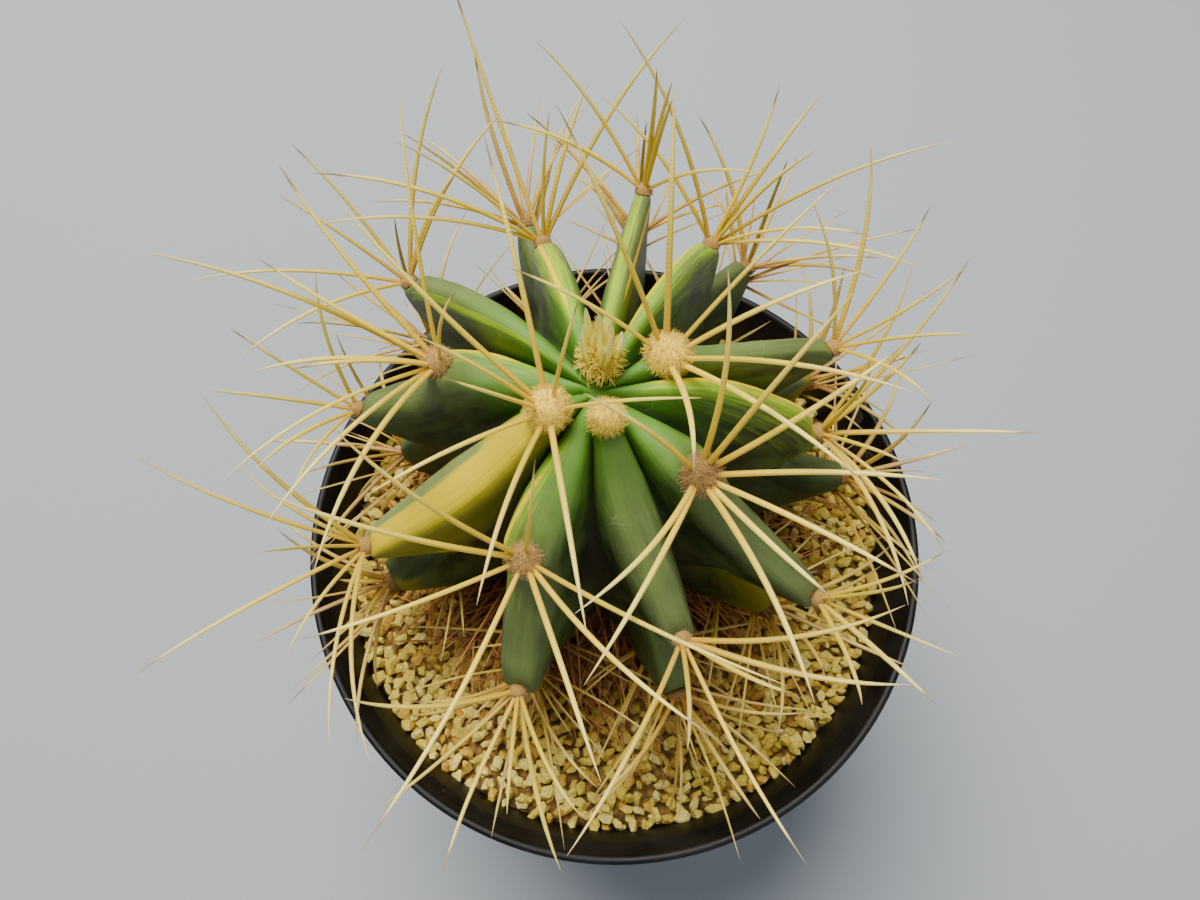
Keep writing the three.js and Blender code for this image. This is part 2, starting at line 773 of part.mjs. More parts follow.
// Spines of a fan: evenly round the areole's normal and one along it
function fanSpines(t, random) {
  const { normal } = seatOf(t);
  const side = new THREE.Vector3(-normal.y, normal.x, 0).normalize();
  const over = new THREE.Vector3().crossVectors(normal, side);
  const phase = random();
  const spines = [];
  for (let k = 0; k <= FAN_COUNT; k += 1) {
    const turn = (2 * Math.PI * (k + phase + FAN_TURN_SPREAD * random())) / FAN_COUNT;
    const ringLean = FAN_LEAN + FAN_LEAN_SPREAD * (random() - 0.5);
    const lean = radians(k < FAN_COUNT ? ringLean : FAN_MIDDLE_LEAN);
    const direction = normal
      .clone()
      .multiplyScalar(Math.cos(lean))
      .addScaledVector(side, Math.sin(lean) * Math.cos(turn))
      .addScaledVector(over, Math.sin(lean) * Math.sin(turn));
    const bearing = degrees(Math.atan2(direction.y, direction.x));
    const rise = degrees(Math.asin(direction.z));
    spines.push([bearing, rise, between([FAN_SHORTEST, FAN_LONGEST], random())]);
  }
  return spines;
}

// What a spine tries when it would touch something: a turn, a lift and a part of its length
const TRIES = [
  [0, 0, 1], [4, 0, 1], [-4, 0, 1], [0, 5, 1], [0, -5, 1], [7, 4, 1], [-7, 4, 1], [7, -4, 1],
  [-7, -4, 1], [11, 0, 1], [-11, 0, 1], [0, 10, 1], [14, 8, 1], [-14, 8, 1], [0, 16, 0.9],
  [18, 0, 0.85], [-18, 0, 0.85], [0, 24, 0.8], [10, 16, 0.7], [-10, 16, 0.7], [0, 8, 0.6],
];

// True where a point keeps clear of the gravel and of the pot's wall and rim
function isOverPot(p) {
  const out = Math.hypot(p.x, p.y);
  if (out < innerRadius(POT_HEIGHT) - SPINE_CLEARANCE) {
    return p.z > GRAVEL_LEVEL + GRAIN_RELIEF + GRAVEL_CLEARANCE;
  }
  if (out < RIM_RADIUS + SPINE_CLEARANCE) {
    return p.z > POT_HEIGHT + RIM_CLEARANCE;
  }
  return true;
}

function isClear(points, owner, obstacles) {
  const near = SPINE_CLEARANCE ** 2;
  const own = OWN_REACH ** 2;
  return points.every(
    (p) =>
      isOverPot(p) &&
      obstacles.every(
        ({ point, grownFrom }) =>
          grownFrom === owner ||
          point.distanceToSquared(p) > near ||
          (grownFrom === null && owner.distanceToSquared(point) < own),
      ),
  );
}

// Every spine of the plant, each turned a little where it would touch another or a rib
function growSpines(tubercles, stemPoints) {
  const random = makeRandom(SEED);
  const obstacles = stemPoints.map((point) => ({ point, grownFrom: null }));
  return tubercles.map((t) => {
    const owner = seatOf(t).point;
    const hasFan = t.spines.length === 0 && !t.isBare;
    const wanted = hasFan ? fanSpines(t, random) : t.spines;
    const lines = [];
    wanted.forEach(([bearing, rise, length]) => {
      const line = TRIES.map(([turn, lift, part]) =>
        spineLine(t, bearing + turn, rise + lift, length * part),
      ).find((curve) => isClear(samplesOf(curve), owner, obstacles));
      if (line) {
        samplesOf(line).forEach((point) => obstacles.push({ point, grownFrom: owner }));
        lines.push(line);
      }
    });
    return lines;
  });
}

function samplesOf(curve) {
  return curve.getPoints(Math.ceil(curve.v0.distanceTo(curve.v2) / SAMPLE_STEP));
}

// A three-sided tapering spine along its line
function spineSolid(line) {
  const along = line.v2.clone().sub(line.v0).normalize();
  const side = new THREE.Vector3(-along.y, along.x, 0).normalize();
  const over = new THREE.Vector3().crossVectors(along, side);
  const rings = SPINE_STATIONS.map(([part, thickness]) => {
    const points = [];
    for (let k = 0; k < SPINE_SIDES; k += 1) {
      const turn = (2 * Math.PI * k) / SPINE_SIDES;
      points.push(
        line
          .getPoint(part)
          .addScaledVector(side, SPINE_RADIUS * thickness * Math.sin(turn))
          .addScaledVector(over, SPINE_RADIUS * thickness * Math.cos(turn)),
      );
    }
    return points;
  });
  return solidOf(skinOf(rings, line.v0, line.v2));
}

function makeAreole(name, t, lines) {
  let solid = padSolid(t);
  lines.forEach((line) => {
    solid = solid.add(spineSolid(line));
  });
  return meshOf(name, solid, lines.length > 0 ? "spines" : "wool");
}

// Tubercles in the order in which their spines are placed: the youngest first
function namedTubercles() {
  const young = RIBS.flatMap((rib) =>
    rib.young.map((t) => ({ ...t, name: `areole_${rib.name}_young`, isBare: rib.name === BARE_YOUNG })),
  );
  const outer = RIBS.map((rib) => ({ ...rib.outer, name: `areole_${rib.name}_outer` }));
  const low = RIBS.map((rib) => ({ ...rib.low, name: `areole_${rib.name}_low` }));
  return [...young, ...outer, ...low];
}

function makePlant() {
  const rings = stemRings();
  const tubercles = namedTubercles();
  const crown = stemPoint(0, 0, CROWN_UP - CROWN_DIMPLE);
  const rootTip = stemPoint(0, 0, ROOT_END - RIM_LEVEL);
  let stem = solidOf(skinOf(rings, crown, rootTip));
  tubercles.forEach((t) => {
    stem = stem.subtract(seatCutter(t));
  });
  const lines = growSpines(tubercles, rings.flat());
  const areoles = tubercles.map((t, k) => makeAreole(t.name, t, lines[k]));
  return [meshOf("stem", stem, "stem"), ...areoles];
}

const plant = new THREE.Group();
plant.add(makePot(), makeSoil(), makeGravel(), ...makePlant());

export default plant;
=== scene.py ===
"""Dresses the solids of a potted barrel cactus with long finger-like tubercles."""

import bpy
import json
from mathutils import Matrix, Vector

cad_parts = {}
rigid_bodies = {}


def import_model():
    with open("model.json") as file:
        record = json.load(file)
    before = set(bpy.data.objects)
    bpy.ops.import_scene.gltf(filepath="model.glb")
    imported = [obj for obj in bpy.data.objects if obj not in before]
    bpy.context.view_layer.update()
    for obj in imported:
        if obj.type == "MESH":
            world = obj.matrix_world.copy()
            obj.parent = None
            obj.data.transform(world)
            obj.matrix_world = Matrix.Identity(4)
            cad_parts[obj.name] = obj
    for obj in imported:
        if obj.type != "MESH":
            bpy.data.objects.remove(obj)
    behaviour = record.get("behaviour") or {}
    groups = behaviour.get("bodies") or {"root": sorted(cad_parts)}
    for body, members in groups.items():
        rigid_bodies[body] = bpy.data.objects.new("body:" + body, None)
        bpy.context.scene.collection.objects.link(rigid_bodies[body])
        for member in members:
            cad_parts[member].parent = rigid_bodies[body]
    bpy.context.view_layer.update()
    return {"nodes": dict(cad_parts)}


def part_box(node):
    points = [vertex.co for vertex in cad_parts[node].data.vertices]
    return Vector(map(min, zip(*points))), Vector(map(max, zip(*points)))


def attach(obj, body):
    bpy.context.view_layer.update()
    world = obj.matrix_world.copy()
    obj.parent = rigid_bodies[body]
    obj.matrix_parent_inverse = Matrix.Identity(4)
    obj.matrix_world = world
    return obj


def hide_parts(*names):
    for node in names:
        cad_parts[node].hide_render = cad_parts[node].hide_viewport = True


bl_info = {
    "name": "Potted Barrel Cactus",
    "version": (1, 0, 0),
    "blender": (4, 5, 0),
    "location": "View3D > Sidebar > Cactus",
    "description": "Builds the pot, grit, stem, wool and spines of a potted barrel cactus",
    "category": "Add Mesh",
}

import json
import math
from typing import NamedTuple

import bmesh
import bpy
import numpy as np
from bpy.props import FloatProperty, FloatVectorProperty, IntProperty, PointerProperty
from bpy.types import Operator, Panel, PropertyGroup
from mathutils import Vector, noise

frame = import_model()

MM = 0.001
POT_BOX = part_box("pot")
GRAVEL_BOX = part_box("gravel")

# The plant's own measures, in millimetres and degrees, the same as those of its solids
RIM_LEVEL = POT_BOX[1].z / MM
RIM_RADIUS = POT_BOX[1].x / MM
GRAVEL_LEVEL = 79.0
GRAIN_RELIEF = 1.6
LIP_WIDTH = 2.4
WALL = 1.6
BASE_RADIUS = 37.5
AXIS = (-3.0, 7.0)
CROWN_UP = 46.0
CROWN_DIMPLE = 0.8
CROWN_OUT = 2.0
FOOT_OUT = 16.5
FOOT_UP = -13.0
NECK_UP = -17.0
ROOT_RADIUS = 11.3
ROOT_END = 60.0
GRAVEL_HOLE = 18.6
TIP_LEVEL = 0.44
LOW_LEVEL = 0.7
FOOT_LEVEL = 0.88
NECK_LEVEL = 0.93
TIP_SPEED = 0.8
YOUNG_LEVEL = 0.04
YOUNG_LEVEL_GROWTH = 0.0105
SHOULDER_PARTS = (0.25, 0.5, 0.75)
SHOULDER_SWEEP = 60.0
SHOULDER_RISE = 1.5
DIP = ((0.14, -0.35), (0.34, -1.0), (0.62, -0.45), (0.85, 0.02))
YOUNG_DIP_SHARE = 0.13
OUTER_DIP = 7.5
CHIN = (0.05, -3.5, -4.5)
HEEL = (-0.05, 4.0, 5.0)
PINCH_HEIGHT = 0.45
FULL_TURN = 360.0

# The floor of the valleys between ribs: level, distance from the axis, height over the rim
VALLEY = (
    (0.0, 1.6, 45.3), (0.1, 6.0, 42.5), (0.22, 12.0, 35.0), (0.33, 16.0, 27.0), (0.44, 18.5, 18.0),
    (0.58, 20.0, 9.0), (0.7, 19.5, 2.0), (0.82, 17.0, -7.0), (0.88, 14.0, -13.0), (0.93, 10.8, -17.0),
    (1.0, 10.8, -29.7),
)

# How full the section of a rib is, by level: 2 for an even oval and more for a blunter one
FULLNESS = ((0, 2.1), (0.1, 3.1), (0.3, 3.1), (TIP_LEVEL, 4.2), (LOW_LEVEL, 3.8), (FOOT_LEVEL, 2.1))

# How much narrower than its valley a rib is over its foot, by level
PINCH = ((0, 0), (0.18, 0.05), (0.3, 0.26), (TIP_LEVEL, 0.5), (LOW_LEVEL, 0.52), (FOOT_LEVEL, 0))

# How much of its sector a rib fills as it widens outwards, by level, and the share of that for slimmer ribs
WEDGE = ((0, 0), (0.06, 0.35), (0.16, 0.75), (0.28, 0.6), (TIP_LEVEL, 0), (1, 0))
SLIM_WEDGE = {"a": -0.2, "k": 0.1, "j": 0.0, "i": 0.1, "h": 0.1, "g": 0.15, "d": 0.6}

# The solids' rings of the stem, which their spines keep clear of
LEVELS = (
    0, 0.04, 0.08, 0.12, 0.17, 0.22, 0.27, 0.32, 0.37, 0.41, TIP_LEVEL, 0.47, 0.51, 0.56, 0.61, 0.66,
    LOW_LEVEL, 0.73, 0.77, 0.82, FOOT_LEVEL, NECK_LEVEL, 1,
)
RIB_STEPS = 8

# Areoles and the rule that places their spines
SEAT_DEPTH = 1.0
WIDEST_LEAN = 72.0
SPINE_BOW = 0.14
SPINE_ROOT_OUT = 0.5
SPINE_ROOT_UP = 0.1
SPINE_CLEARANCE = 1.9
GRAVEL_CLEARANCE = 1.0
RIM_CLEARANCE = 1.4
OWN_REACH = 6.0
SAMPLE_STEP = 1.5
FAN_COUNT = 6
FAN_LEAN = 60.0
FAN_LEAN_SPREAD = 8.0
FAN_MIDDLE_LEAN = 12.0
FAN_TURN_SPREAD = 0.3
FAN_SHORTEST = 19.0
FAN_LONGEST = 26.0
SEED = 4217
GRAIN_SEED_STEP = 31

# How a spine that touches something is tried again: turned, lifted and shortened
TRIES = (
    (0, 0, 1), (4, 0, 1), (-4, 0, 1), (0, 5, 1), (0, -5, 1), (7, 4, 1), (-7, 4, 1), (7, -4, 1),
    (-7, -4, 1), (11, 0, 1), (-11, 0, 1), (0, 10, 1), (14, 8, 1), (-14, 8, 1), (0, 16, 0.9),
    (18, 0, 0.85), (-18, 0, 0.85), (0, 24, 0.8), (10, 16, 0.7), (-10, 16, 0.7), (0, 8, 0.6),
)


class Tubercle(NamedTuple):
    """A tubercle's tip: bearing, distance out, height over the rim, tilt of its areole, pad radius.

    Each spine is a bearing, a rise over the level and a length.
    """

    bearing: float
    out: float
    up: float
    tilt: float
    pad: float
    spines: tuple = ()


class Streak(NamedTuple):
    """A variegated streak on a rib: its tone, its levels, its middle at both, and its half width. The olive
    streaks are partly painted shade on the flanks of the yellow.
    """

    tone: str
    start: float
    end: float
    side_start: float
    side_end: float
    width: float


class Rib(NamedTuple):
    """A rib: its young tubercles near the crown, its outer one, its low one, and its streaks."""

    name: str
    young: tuple
    outer: Tubercle
    low: Tubercle
    streaks: tuple = ()


RIBS = (
    Rib(
        "a", (),
        Tubercle(5, 34.5, 23, 35, 1.8, (
            (60, 40, 27), (45, 45, 32), (-10, 25, 30), (-55, 15, 25), (-65, 10, 26),
            (40, 80, 20), (-85, 15, 30), (-60, 55, 20), (30, 60, 22),
        )),
        Tubercle(0, 41, 10, 10, 1.6),
        (Streak("lime", 0.03, 0.5, 0.3, 0.1, 1.0), Streak("yellow", 0.06, 0.48, 0.44, 0.32, 0.42)),
    ),
    Rib(
        "k", (Tubercle(28, 10.5, 46.5, 72, 3, (
            (130, 55, 34), (170, 40, 24), (90, 45, 31), (35, 40, 29), (15, 25, 25),
            (-25, 30, 31), (-45, 20, 30), (-85, 30, 21),
        )),),
        Tubercle(21, 38, 31, 40, 1.8, (
            (115, 50, 22), (85, 45, 28), (45, 40, 23), (15, 45, 22), (-20, 20, 26), (-60, 15, 25),
        )),
        Tubercle(26, 40, 10, 5, 1.7),
        (Streak("olive", 0.6, 0.76, 0.0, 0.0, 0.7),),
    ),
    Rib(
        "j", (),
        Tubercle(60, 35.5, 32, 40, 1.8, (
            (130, 50, 34), (140, 35, 27), (60, 50, 24), (45, 40, 26), (15, 55, 22),
            (5, 35, 36), (-15, 30, 25), (-25, 15, 31),
        )),
        Tubercle(53, 41.5, 21, 15, 1.7),
        (Streak("lime", 0.05, 0.46, 0.4, 0.3, 0.95), Streak("yellow", 0.08, 0.47, 0.5, 0.42, 0.4)),
    ),
    Rib(
        "i", (Tubercle(81, 3.6, 48, 80, 2.4, (
            (60, 80, 9), (140, 65, 8), (210, 60, 8), (0, 65, 8), (280, 60, 7), (100, 70, 10),
        )),),
        Tubercle(79, 37.5, 37, 45, 1.7, (
            (145, 45, 26), (55, 50, 23), (80, 65, 20), (30, 55, 22), (180, 35, 25),
            (170, 20, 20), (-30, 40, 21),
        )),
        Tubercle(80, 41, 20, 15, 1.7),
        (Streak("lime", 0.1, 0.46, 0.05, 0.1, 0.24), Streak("yellow", 0.2, 0.45, -0.3, -0.4, 0.07)),
    ),
    Rib(
        "h", (),
        Tubercle(105, 32.5, 31.5, 42, 1.8, (
            (115, 45, 37), (60, 45, 23), (80, 60, 20), (40, 40, 37), (-175, 35, 35),
            (-165, 25, 34), (175, 50, 28),
        )),
        Tubercle(107, 41, 24, 20, 1.7, (
            (110, 45, 27), (165, 45, 24), (140, 10, 24), (180, 15, 24), (60, 20, 22), (85, 5, 24),
        )),
        (Streak("lime", 0.08, 0.44, 0.1, 0.15, 0.45), Streak("yellow", 0.12, 0.42, 0.1, 0.15, 0.08)),
    ),
    Rib(
        "g", (),
        Tubercle(139, 38.5, 30, 40, 1.8, (
            (70, 45, 31), (45, 40, 29), (140, 45, 25), (160, 40, 22), (-165, 25, 30),
            (-130, 15, 28), (30, 45, 22),
        )),
        Tubercle(140, 37, 12, 10, 1.7),
        (Streak("lime", 0.04, 0.42, 0.3, 0.3, 0.16),),
    ),
    Rib(
        "f", (Tubercle(162, 23, 39.5, 58, 2.2, (
            (95, 45, 34), (135, 40, 31), (160, 35, 26), (170, 30, 38), (-150, 45, 22),
            (-165, 25, 23), (-135, 25, 32), (-125, 15, 31), (-105, 20, 35), (0, 75, 20),
        )),),
        Tubercle(170, 37.5, 24, 38, 1.6, (
            (160, 50, 22), (-170, 40, 22), (100, 50, 22), (-125, 35, 20), (-105, 30, 20),
        )),
        Tubercle(170, 33, 6, 0, 1.6),
        (Streak("lime", 0.06, 0.32, -0.4, -0.34, 0.4), Streak("yellow", 0.12, 0.28, -0.46, -0.4, 0.22)),
    ),
    Rib(
        "e", (Tubercle(-153, 6.8, 47.5, 78, 3, (
            (105, 45, 32), (145, 40, 34), (175, 55, 21), (-145, 20, 24), (-105, 15, 26),
            (-80, 15, 29), (-15, 40, 22), (55, 45, 23), (-160, 60, 20),
        )),),
        Tubercle(-159, 38, 18, 32, 1.8, (
            (165, 40, 34), (135, 45, 32), (150, 20, 21), (-140, 25, 35), (-90, 15, 30),
            (-70, 15, 33), (-110, 30, 21), (-150, 60, 20),
        )),
        Tubercle(-153, 37.5, 8, 5, 1.7),
        (
            # The olive streaks on the lower flank are partly olive skin and partly painted shade on the
            # yellow.
            Streak("yellow", 0.07, 0.54, 0.3, 0.35, 0.95), Streak("olive", 0.05, 0.5, 0.74, 0.66, 0.74),
            Streak("olive", 0.62, 0.74, 0.35, 0.35, 0.3), Streak("green", 0.2, 0.45, -0.34, -0.16, 0.2),
        ),
    ),
    Rib(
        "d", (Tubercle(-114, 22.5, 39.5, 58, 2.2, (
            (70, 70, 20), (155, 45, 31), (175, 40, 33), (-155, 20, 28), (-115, 15, 37),
            (-70, 20, 29), (-30, 25, 36), (-45, 20, 32),
        )),),
        Tubercle(-108, 37, 18, 25, 1.6, (
            (-110, 15, 25), (-90, 35, 19), (-175, 25, 24), (-60, 30, 21), (-140, 0, 24), (-75, -5, 24),
        )),
        Tubercle(-110, 34, 4, 0, 1.6),
        (Streak("lime", 0.06, 0.36, -0.3, -0.42, 0.36), Streak("yellow", 0.12, 0.3, -0.36, -0.46, 0.1)),
    ),
    Rib(
        "c", (Tubercle(-73, 4.6, 48, 85, 2.3),),
        Tubercle(-68, 31.5, 28, 42, 1.7, (
            (-65, 20, 31), (-120, 20, 31), (5, 30, 29), (-15, 25, 29), (-35, 45, 20), (-95, 50, 22),
        )),
        Tubercle(-70, 37, 8, 5, 1.7),
    ),
    Rib(
        "b", (Tubercle(-38, 17, 43.5, 62, 2.6, (
            (85, 50, 26), (40, 50, 31), (25, 35, 29), (-10, 25, 28), (-35, 20, 28),
            (-50, 15, 22), (-75, 20, 31), (-130, 20, 25), (-115, 15, 30), (155, 50, 22),
        )),),
        Tubercle(-34, 39.5, 20, 30, 1.7, (
            (-85, 40, 20), (-30, 25, 20), (15, 45, 20), (-50, 20, 21), (-10, 60, 22),
        )),
        Tubercle(-36, 35, 5, 5, 1.7),
        (Streak("olive", 0.5, 0.76, -0.3, -0.1, 0.85),),
    ),
)

# The young areole without spines, the one with a brush of new ones, and how worn each ring's spines are
BARE_YOUNG = "c"
BRUSH = "areole_i_young"
AGES = {"young": 0.0, "outer": 0.3, "low": 1.0}


def colour(text):
    """The linear colour of an sRGB hex value."""
    channels = [int(text[k:k + 2], 16) / 255 for k in (1, 3, 5)]
    linear = [c / 12.92 if c <= 0.04045 else ((c + 0.055) / 1.055) ** 2.4 for c in channels]
    return (*linear, 1.0)


def per_mm(size):
    """The scale of a pattern whose features measure this many millimetres."""
    return 1 / (size * MM)


# The shape of the plant


def evenly(low, high, part):
    """The value at a part of the way, from 0 to 1, between two ends."""
    return low + (high - low) * part


def slope_at(knots, m):
    """The slope at a knot, square to an areole's tilt where the knot gives one."""
    before = knots[max(m - 1, 0)]
    after = knots[min(m + 1, len(knots) - 1)]
    slope = (np.array(after[1:3]) - before[1:3]) / (after[0] - before[0])
    if len(knots[m]) < 4:
        return slope
    tilt = math.radians(knots[m][3])
    speed = TIP_SPEED * math.hypot(*slope)
    return np.array([speed * math.sin(tilt), -speed * math.cos(tilt)])


def curve_at(knots, levels):
    """Points of a smooth curve through knots of a level, an out and an up."""
    starts = np.array([k[0] for k in knots])
    values = np.array([k[1:3] for k in knots])
    slopes = np.array([slope_at(knots, m) for m in range(len(knots))])
    k = np.searchsorted(starts[1:-1], levels, side="left")
    span = (starts[k + 1] - starts[k])[:, None]
    t = np.clip((levels - starts[k])[:, None] / span, 0, 1)
    bends = slopes[k] * t * (1 - t) ** 2 - slopes[k + 1] * t * t * (1 - t)
    return values[k] + (values[k + 1] - values[k]) * t * t * (3 - 2 * t) + bends * span


def young_level(out):
    """The level of a young areole on its rib's crest, by its distance from the axis."""
    return YOUNG_LEVEL + YOUNG_LEVEL_GROWTH * out


def crest_bearings(rib):
    """The bearing of a rib's crest by level, through its tubercles."""
    knots = [(young_level(t.out), t.bearing) for t in rib.young]
    knots += [(TIP_LEVEL, rib.outer.bearing), (LOW_LEVEL, rib.low.bearing)]
    return [(0, knots[0][1])] + knots


def dip_knots(above, above_level, below, below_level, depth):
    """The dip under a tubercle, before the crest swings out to the next one."""
    along = np.array([below.out - above.out, below.up - above.up])
    outward = np.array([-along[1], along[0]]) / np.hypot(*along)
    knots = []
    for part, push in DIP:
        out, up = np.array([above.out, above.up]) + along * part + outward * push * depth
        knots.append((evenly(above_level, below_level, part), out, up))
    return knots


def shoulder_knots(tip):
    """A rounded slope from the crown to the tip."""
    sweep = math.radians(SHOULDER_SWEEP)
    knots = []
    for part in SHOULDER_PARTS:
        out_part = math.sin(sweep * part) / math.sin(sweep)
        up_part = (math.cos(sweep * part) - math.cos(sweep)) / (1 - math.cos(sweep))
        out = evenly(CROWN_OUT, tip.out, out_part)
        knots.append((TIP_LEVEL * part, out, evenly(tip.up, CROWN_UP + SHOULDER_RISE, up_part)))
    return knots


def crest_knots(rib):
    """The crest of a rib from the crown to the root: level, distance from the axis, height."""
    outer, low = rib.outer, rib.low
    knots = [(0, CROWN_OUT, CROWN_UP)]
    if not rib.young:
        knots += shoulder_knots(outer)
    for t in rib.young:
        level = young_level(t.out)
        knots.append((level, t.out, t.up, t.tilt))
        knots += dip_knots(t, level, outer, TIP_LEVEL, YOUNG_DIP_SHARE * t.out)
    knots.append((TIP_LEVEL, outer.out, outer.up, outer.tilt))
    knots += dip_knots(outer, TIP_LEVEL, low, LOW_LEVEL, OUTER_DIP)
    knots.append((LOW_LEVEL, low.out, low.up, low.tilt))
    knots.append((LOW_LEVEL + CHIN[0], low.out + CHIN[1], low.up + CHIN[2]))
    knots.append((FOOT_LEVEL + HEEL[0], FOOT_OUT + HEEL[1], FOOT_UP + HEEL[2]))
    knots.append((FOOT_LEVEL, FOOT_OUT, FOOT_UP))
    knots.append((NECK_LEVEL, ROOT_RADIUS, NECK_UP))
    knots.append((1, ROOT_RADIUS, ROOT_END - RIM_LEVEL))
    return knots


def stem_point(bearing, out, up):
    """A point by its bearing, its distance from the stem's axis and its height over the rim."""
    turn = np.radians(bearing)
    x = AXIS[0] + out * np.cos(turn)
    y = AXIS[1] + out * np.sin(turn)
    return np.stack([x, y, RIM_LEVEL + up + 0 * x], axis=-1)


def stem_grid(levels, sides):
    """Points of the stem by level, rib and side, where a rib's side runs from -1 to 1."""
    levels = np.asarray(levels, float)
    crests = np.array([curve_at(crest_knots(rib), levels) for rib in RIBS])
    turns = np.array([np.interp(levels, *zip(*crest_bearings(rib))) for rib in RIBS])
    before = np.roll(turns, 1, axis=0)
    valley = curve_at(VALLEY, levels)
    right = stem_point(before + ((turns - before) % FULL_TURN) / 2, valley[:, 0], valley[:, 1])
    left = np.roll(right, -1, axis=0)
    crest = stem_point(turns, crests[..., 0], crests[..., 1])
    power = (2 / np.interp(levels, *zip(*FULLNESS)))[:, None]
    turn = np.asarray(sides, float) * math.pi / 2
    outward = np.maximum(np.cos(turn), 0) ** power
    pinch = np.interp(levels, *zip(*PINCH))[:, None] * np.minimum(outward / PINCH_HEIGHT, 1)
    reach = (crests[..., 0] / valley[:, 0])[..., None] - 1
    share = np.array([SLIM_WEDGE.get(rib.name, 1) for rib in RIBS])[:, None, None]
    wedge = 1 + share * np.interp(levels, *zip(*WEDGE))[:, None] * outward * np.maximum(reach, 0)
    across = np.sign(sides) * np.abs(np.sin(turn)) ** power * (1 - pinch) * wedge
    middle, half = (right + left) / 2, (left - right) / 2
    grid = middle[:, :, None] + (crest - middle)[:, :, None] * outward[None, :, :, None]
    return (grid + half[:, :, None] * across[..., None]).transpose(1, 0, 2, 3)


def all_tubercles():
    """Every tubercle with its node's name and ring, the youngest first."""
    found = [(f"areole_{rib.name}_young", "young", t) for rib in RIBS for t in rib.young]
    found += [(f"areole_{rib.name}_outer", "outer", rib.outer) for rib in RIBS]
    return found + [(f"areole_{rib.name}_low", "low", rib.low) for rib in RIBS]


def seat_of(t):
    """Where an areole sits and which way it looks."""
    turn, tilt = math.radians(t.bearing), math.radians(t.tilt)
    level = math.cos(tilt)
    normal = np.array([level * math.cos(turn), level * math.sin(turn), math.sin(tilt)])
    return stem_point(t.bearing, t.out, t.up), normal


def seat_frame(t):
    """Where an areole sits, which way it looks, and two ways square to that."""
    seat, normal = seat_of(t)
    side = np.array([-normal[1], normal[0], 0.0])
    side /= np.linalg.norm(side)
    return seat, normal, side, np.cross(normal, side)


# The spines


def make_random(seed):
    """A repeatable run of numbers from 0 to 1."""
    state = seed

    def draw():
        nonlocal state
        state = state * 16807 % 2147483647
        return state / 2147483647

    return draw


def direction_of(bearing, rise):
    """The unit vector of a bearing and a rise in degrees."""
    turn, lift = math.radians(bearing), math.radians(rise)
    level = math.cos(lift)
    return np.array([level * math.cos(turn), level * math.sin(turn), math.sin(lift)])


def lean_limited(direction, normal):
    """Keeps a spine within the widest lean from its areole's normal."""
    widest = math.radians(WIDEST_LEAN)
    if math.acos(np.clip(direction @ normal, -1, 1)) <= widest:
        return direction
    side = direction - normal * (direction @ normal)
    side /= np.linalg.norm(side)
    return side * math.sin(widest) + normal * math.cos(widest)


def spine_line(t, bearing, rise, length):
    """Root, bend and tip of a spine's middle line."""
    point, normal = seat_of(t)
    direction = lean_limited(direction_of(bearing, rise), normal)
    flat = direction - normal * (direction @ normal)
    root = point + flat * SPINE_ROOT_OUT * t.pad + normal * SPINE_ROOT_UP
    tip = root + direction * length
    bend = (root + tip) / 2 + normal * SPINE_BOW * length
    return np.array([root, bend, tip])


def points_on(line, count):
    """Points along the curve that a line's root, bend and tip give."""
    t = np.linspace(0, 1, count)[:, None]
    return line[0] * (1 - t) ** 2 + line[1] * 2 * t * (1 - t) + line[2] * t * t


def samples_of(line):
    """Points along a spine, closely enough to measure its clearance."""
    reach = np.linalg.norm(line[2] - line[0])
    return points_on(line, math.ceil(reach / SAMPLE_STEP) + 1)


def fan_spines(t, draw):
    """Spines evenly round the areole's normal and one along it."""
    _, normal, side, over = seat_frame(t)
    phase = draw()
    spines = []
    for k in range(FAN_COUNT + 1):
        turn = math.tau * (k + phase + FAN_TURN_SPREAD * draw()) / FAN_COUNT
        ring_lean = FAN_LEAN + FAN_LEAN_SPREAD * (draw() - 0.5)
        lean = math.radians(ring_lean if k < FAN_COUNT else FAN_MIDDLE_LEAN)
        sideways = side * math.cos(turn) + over * math.sin(turn)
        direction = normal * math.cos(lean) + sideways * math.sin(lean)
        bearing = math.degrees(math.atan2(direction[1], direction[0]))
        rise = math.degrees(math.asin(direction[2]))
        spines.append((bearing, rise, evenly(FAN_SHORTEST, FAN_LONGEST, draw())))
    return spines


def inner_radius(z):
    """Inner radius of the pot's wall at a height."""
    low = BASE_RADIUS - WALL
    return low + (RIM_RADIUS - LIP_WIDTH - low) * z / RIM_LEVEL


def is_over_pot(points):
    """True where all points keep clear of the gravel and of the pot's wall and rim."""
    out = np.hypot(points[:, 0], points[:, 1])
    inside = out < inner_radius(RIM_LEVEL) - SPINE_CLEARANCE
    over_rim = ~inside & (out < RIM_RADIUS + SPINE_CLEARANCE)
    lowest = np.where(inside, GRAVEL_LEVEL + GRAIN_RELIEF + GRAVEL_CLEARANCE, -np.inf)
    lowest = np.where(over_rim, RIM_LEVEL + RIM_CLEARANCE, lowest)
    return bool(np.all(points[:, 2] > lowest))


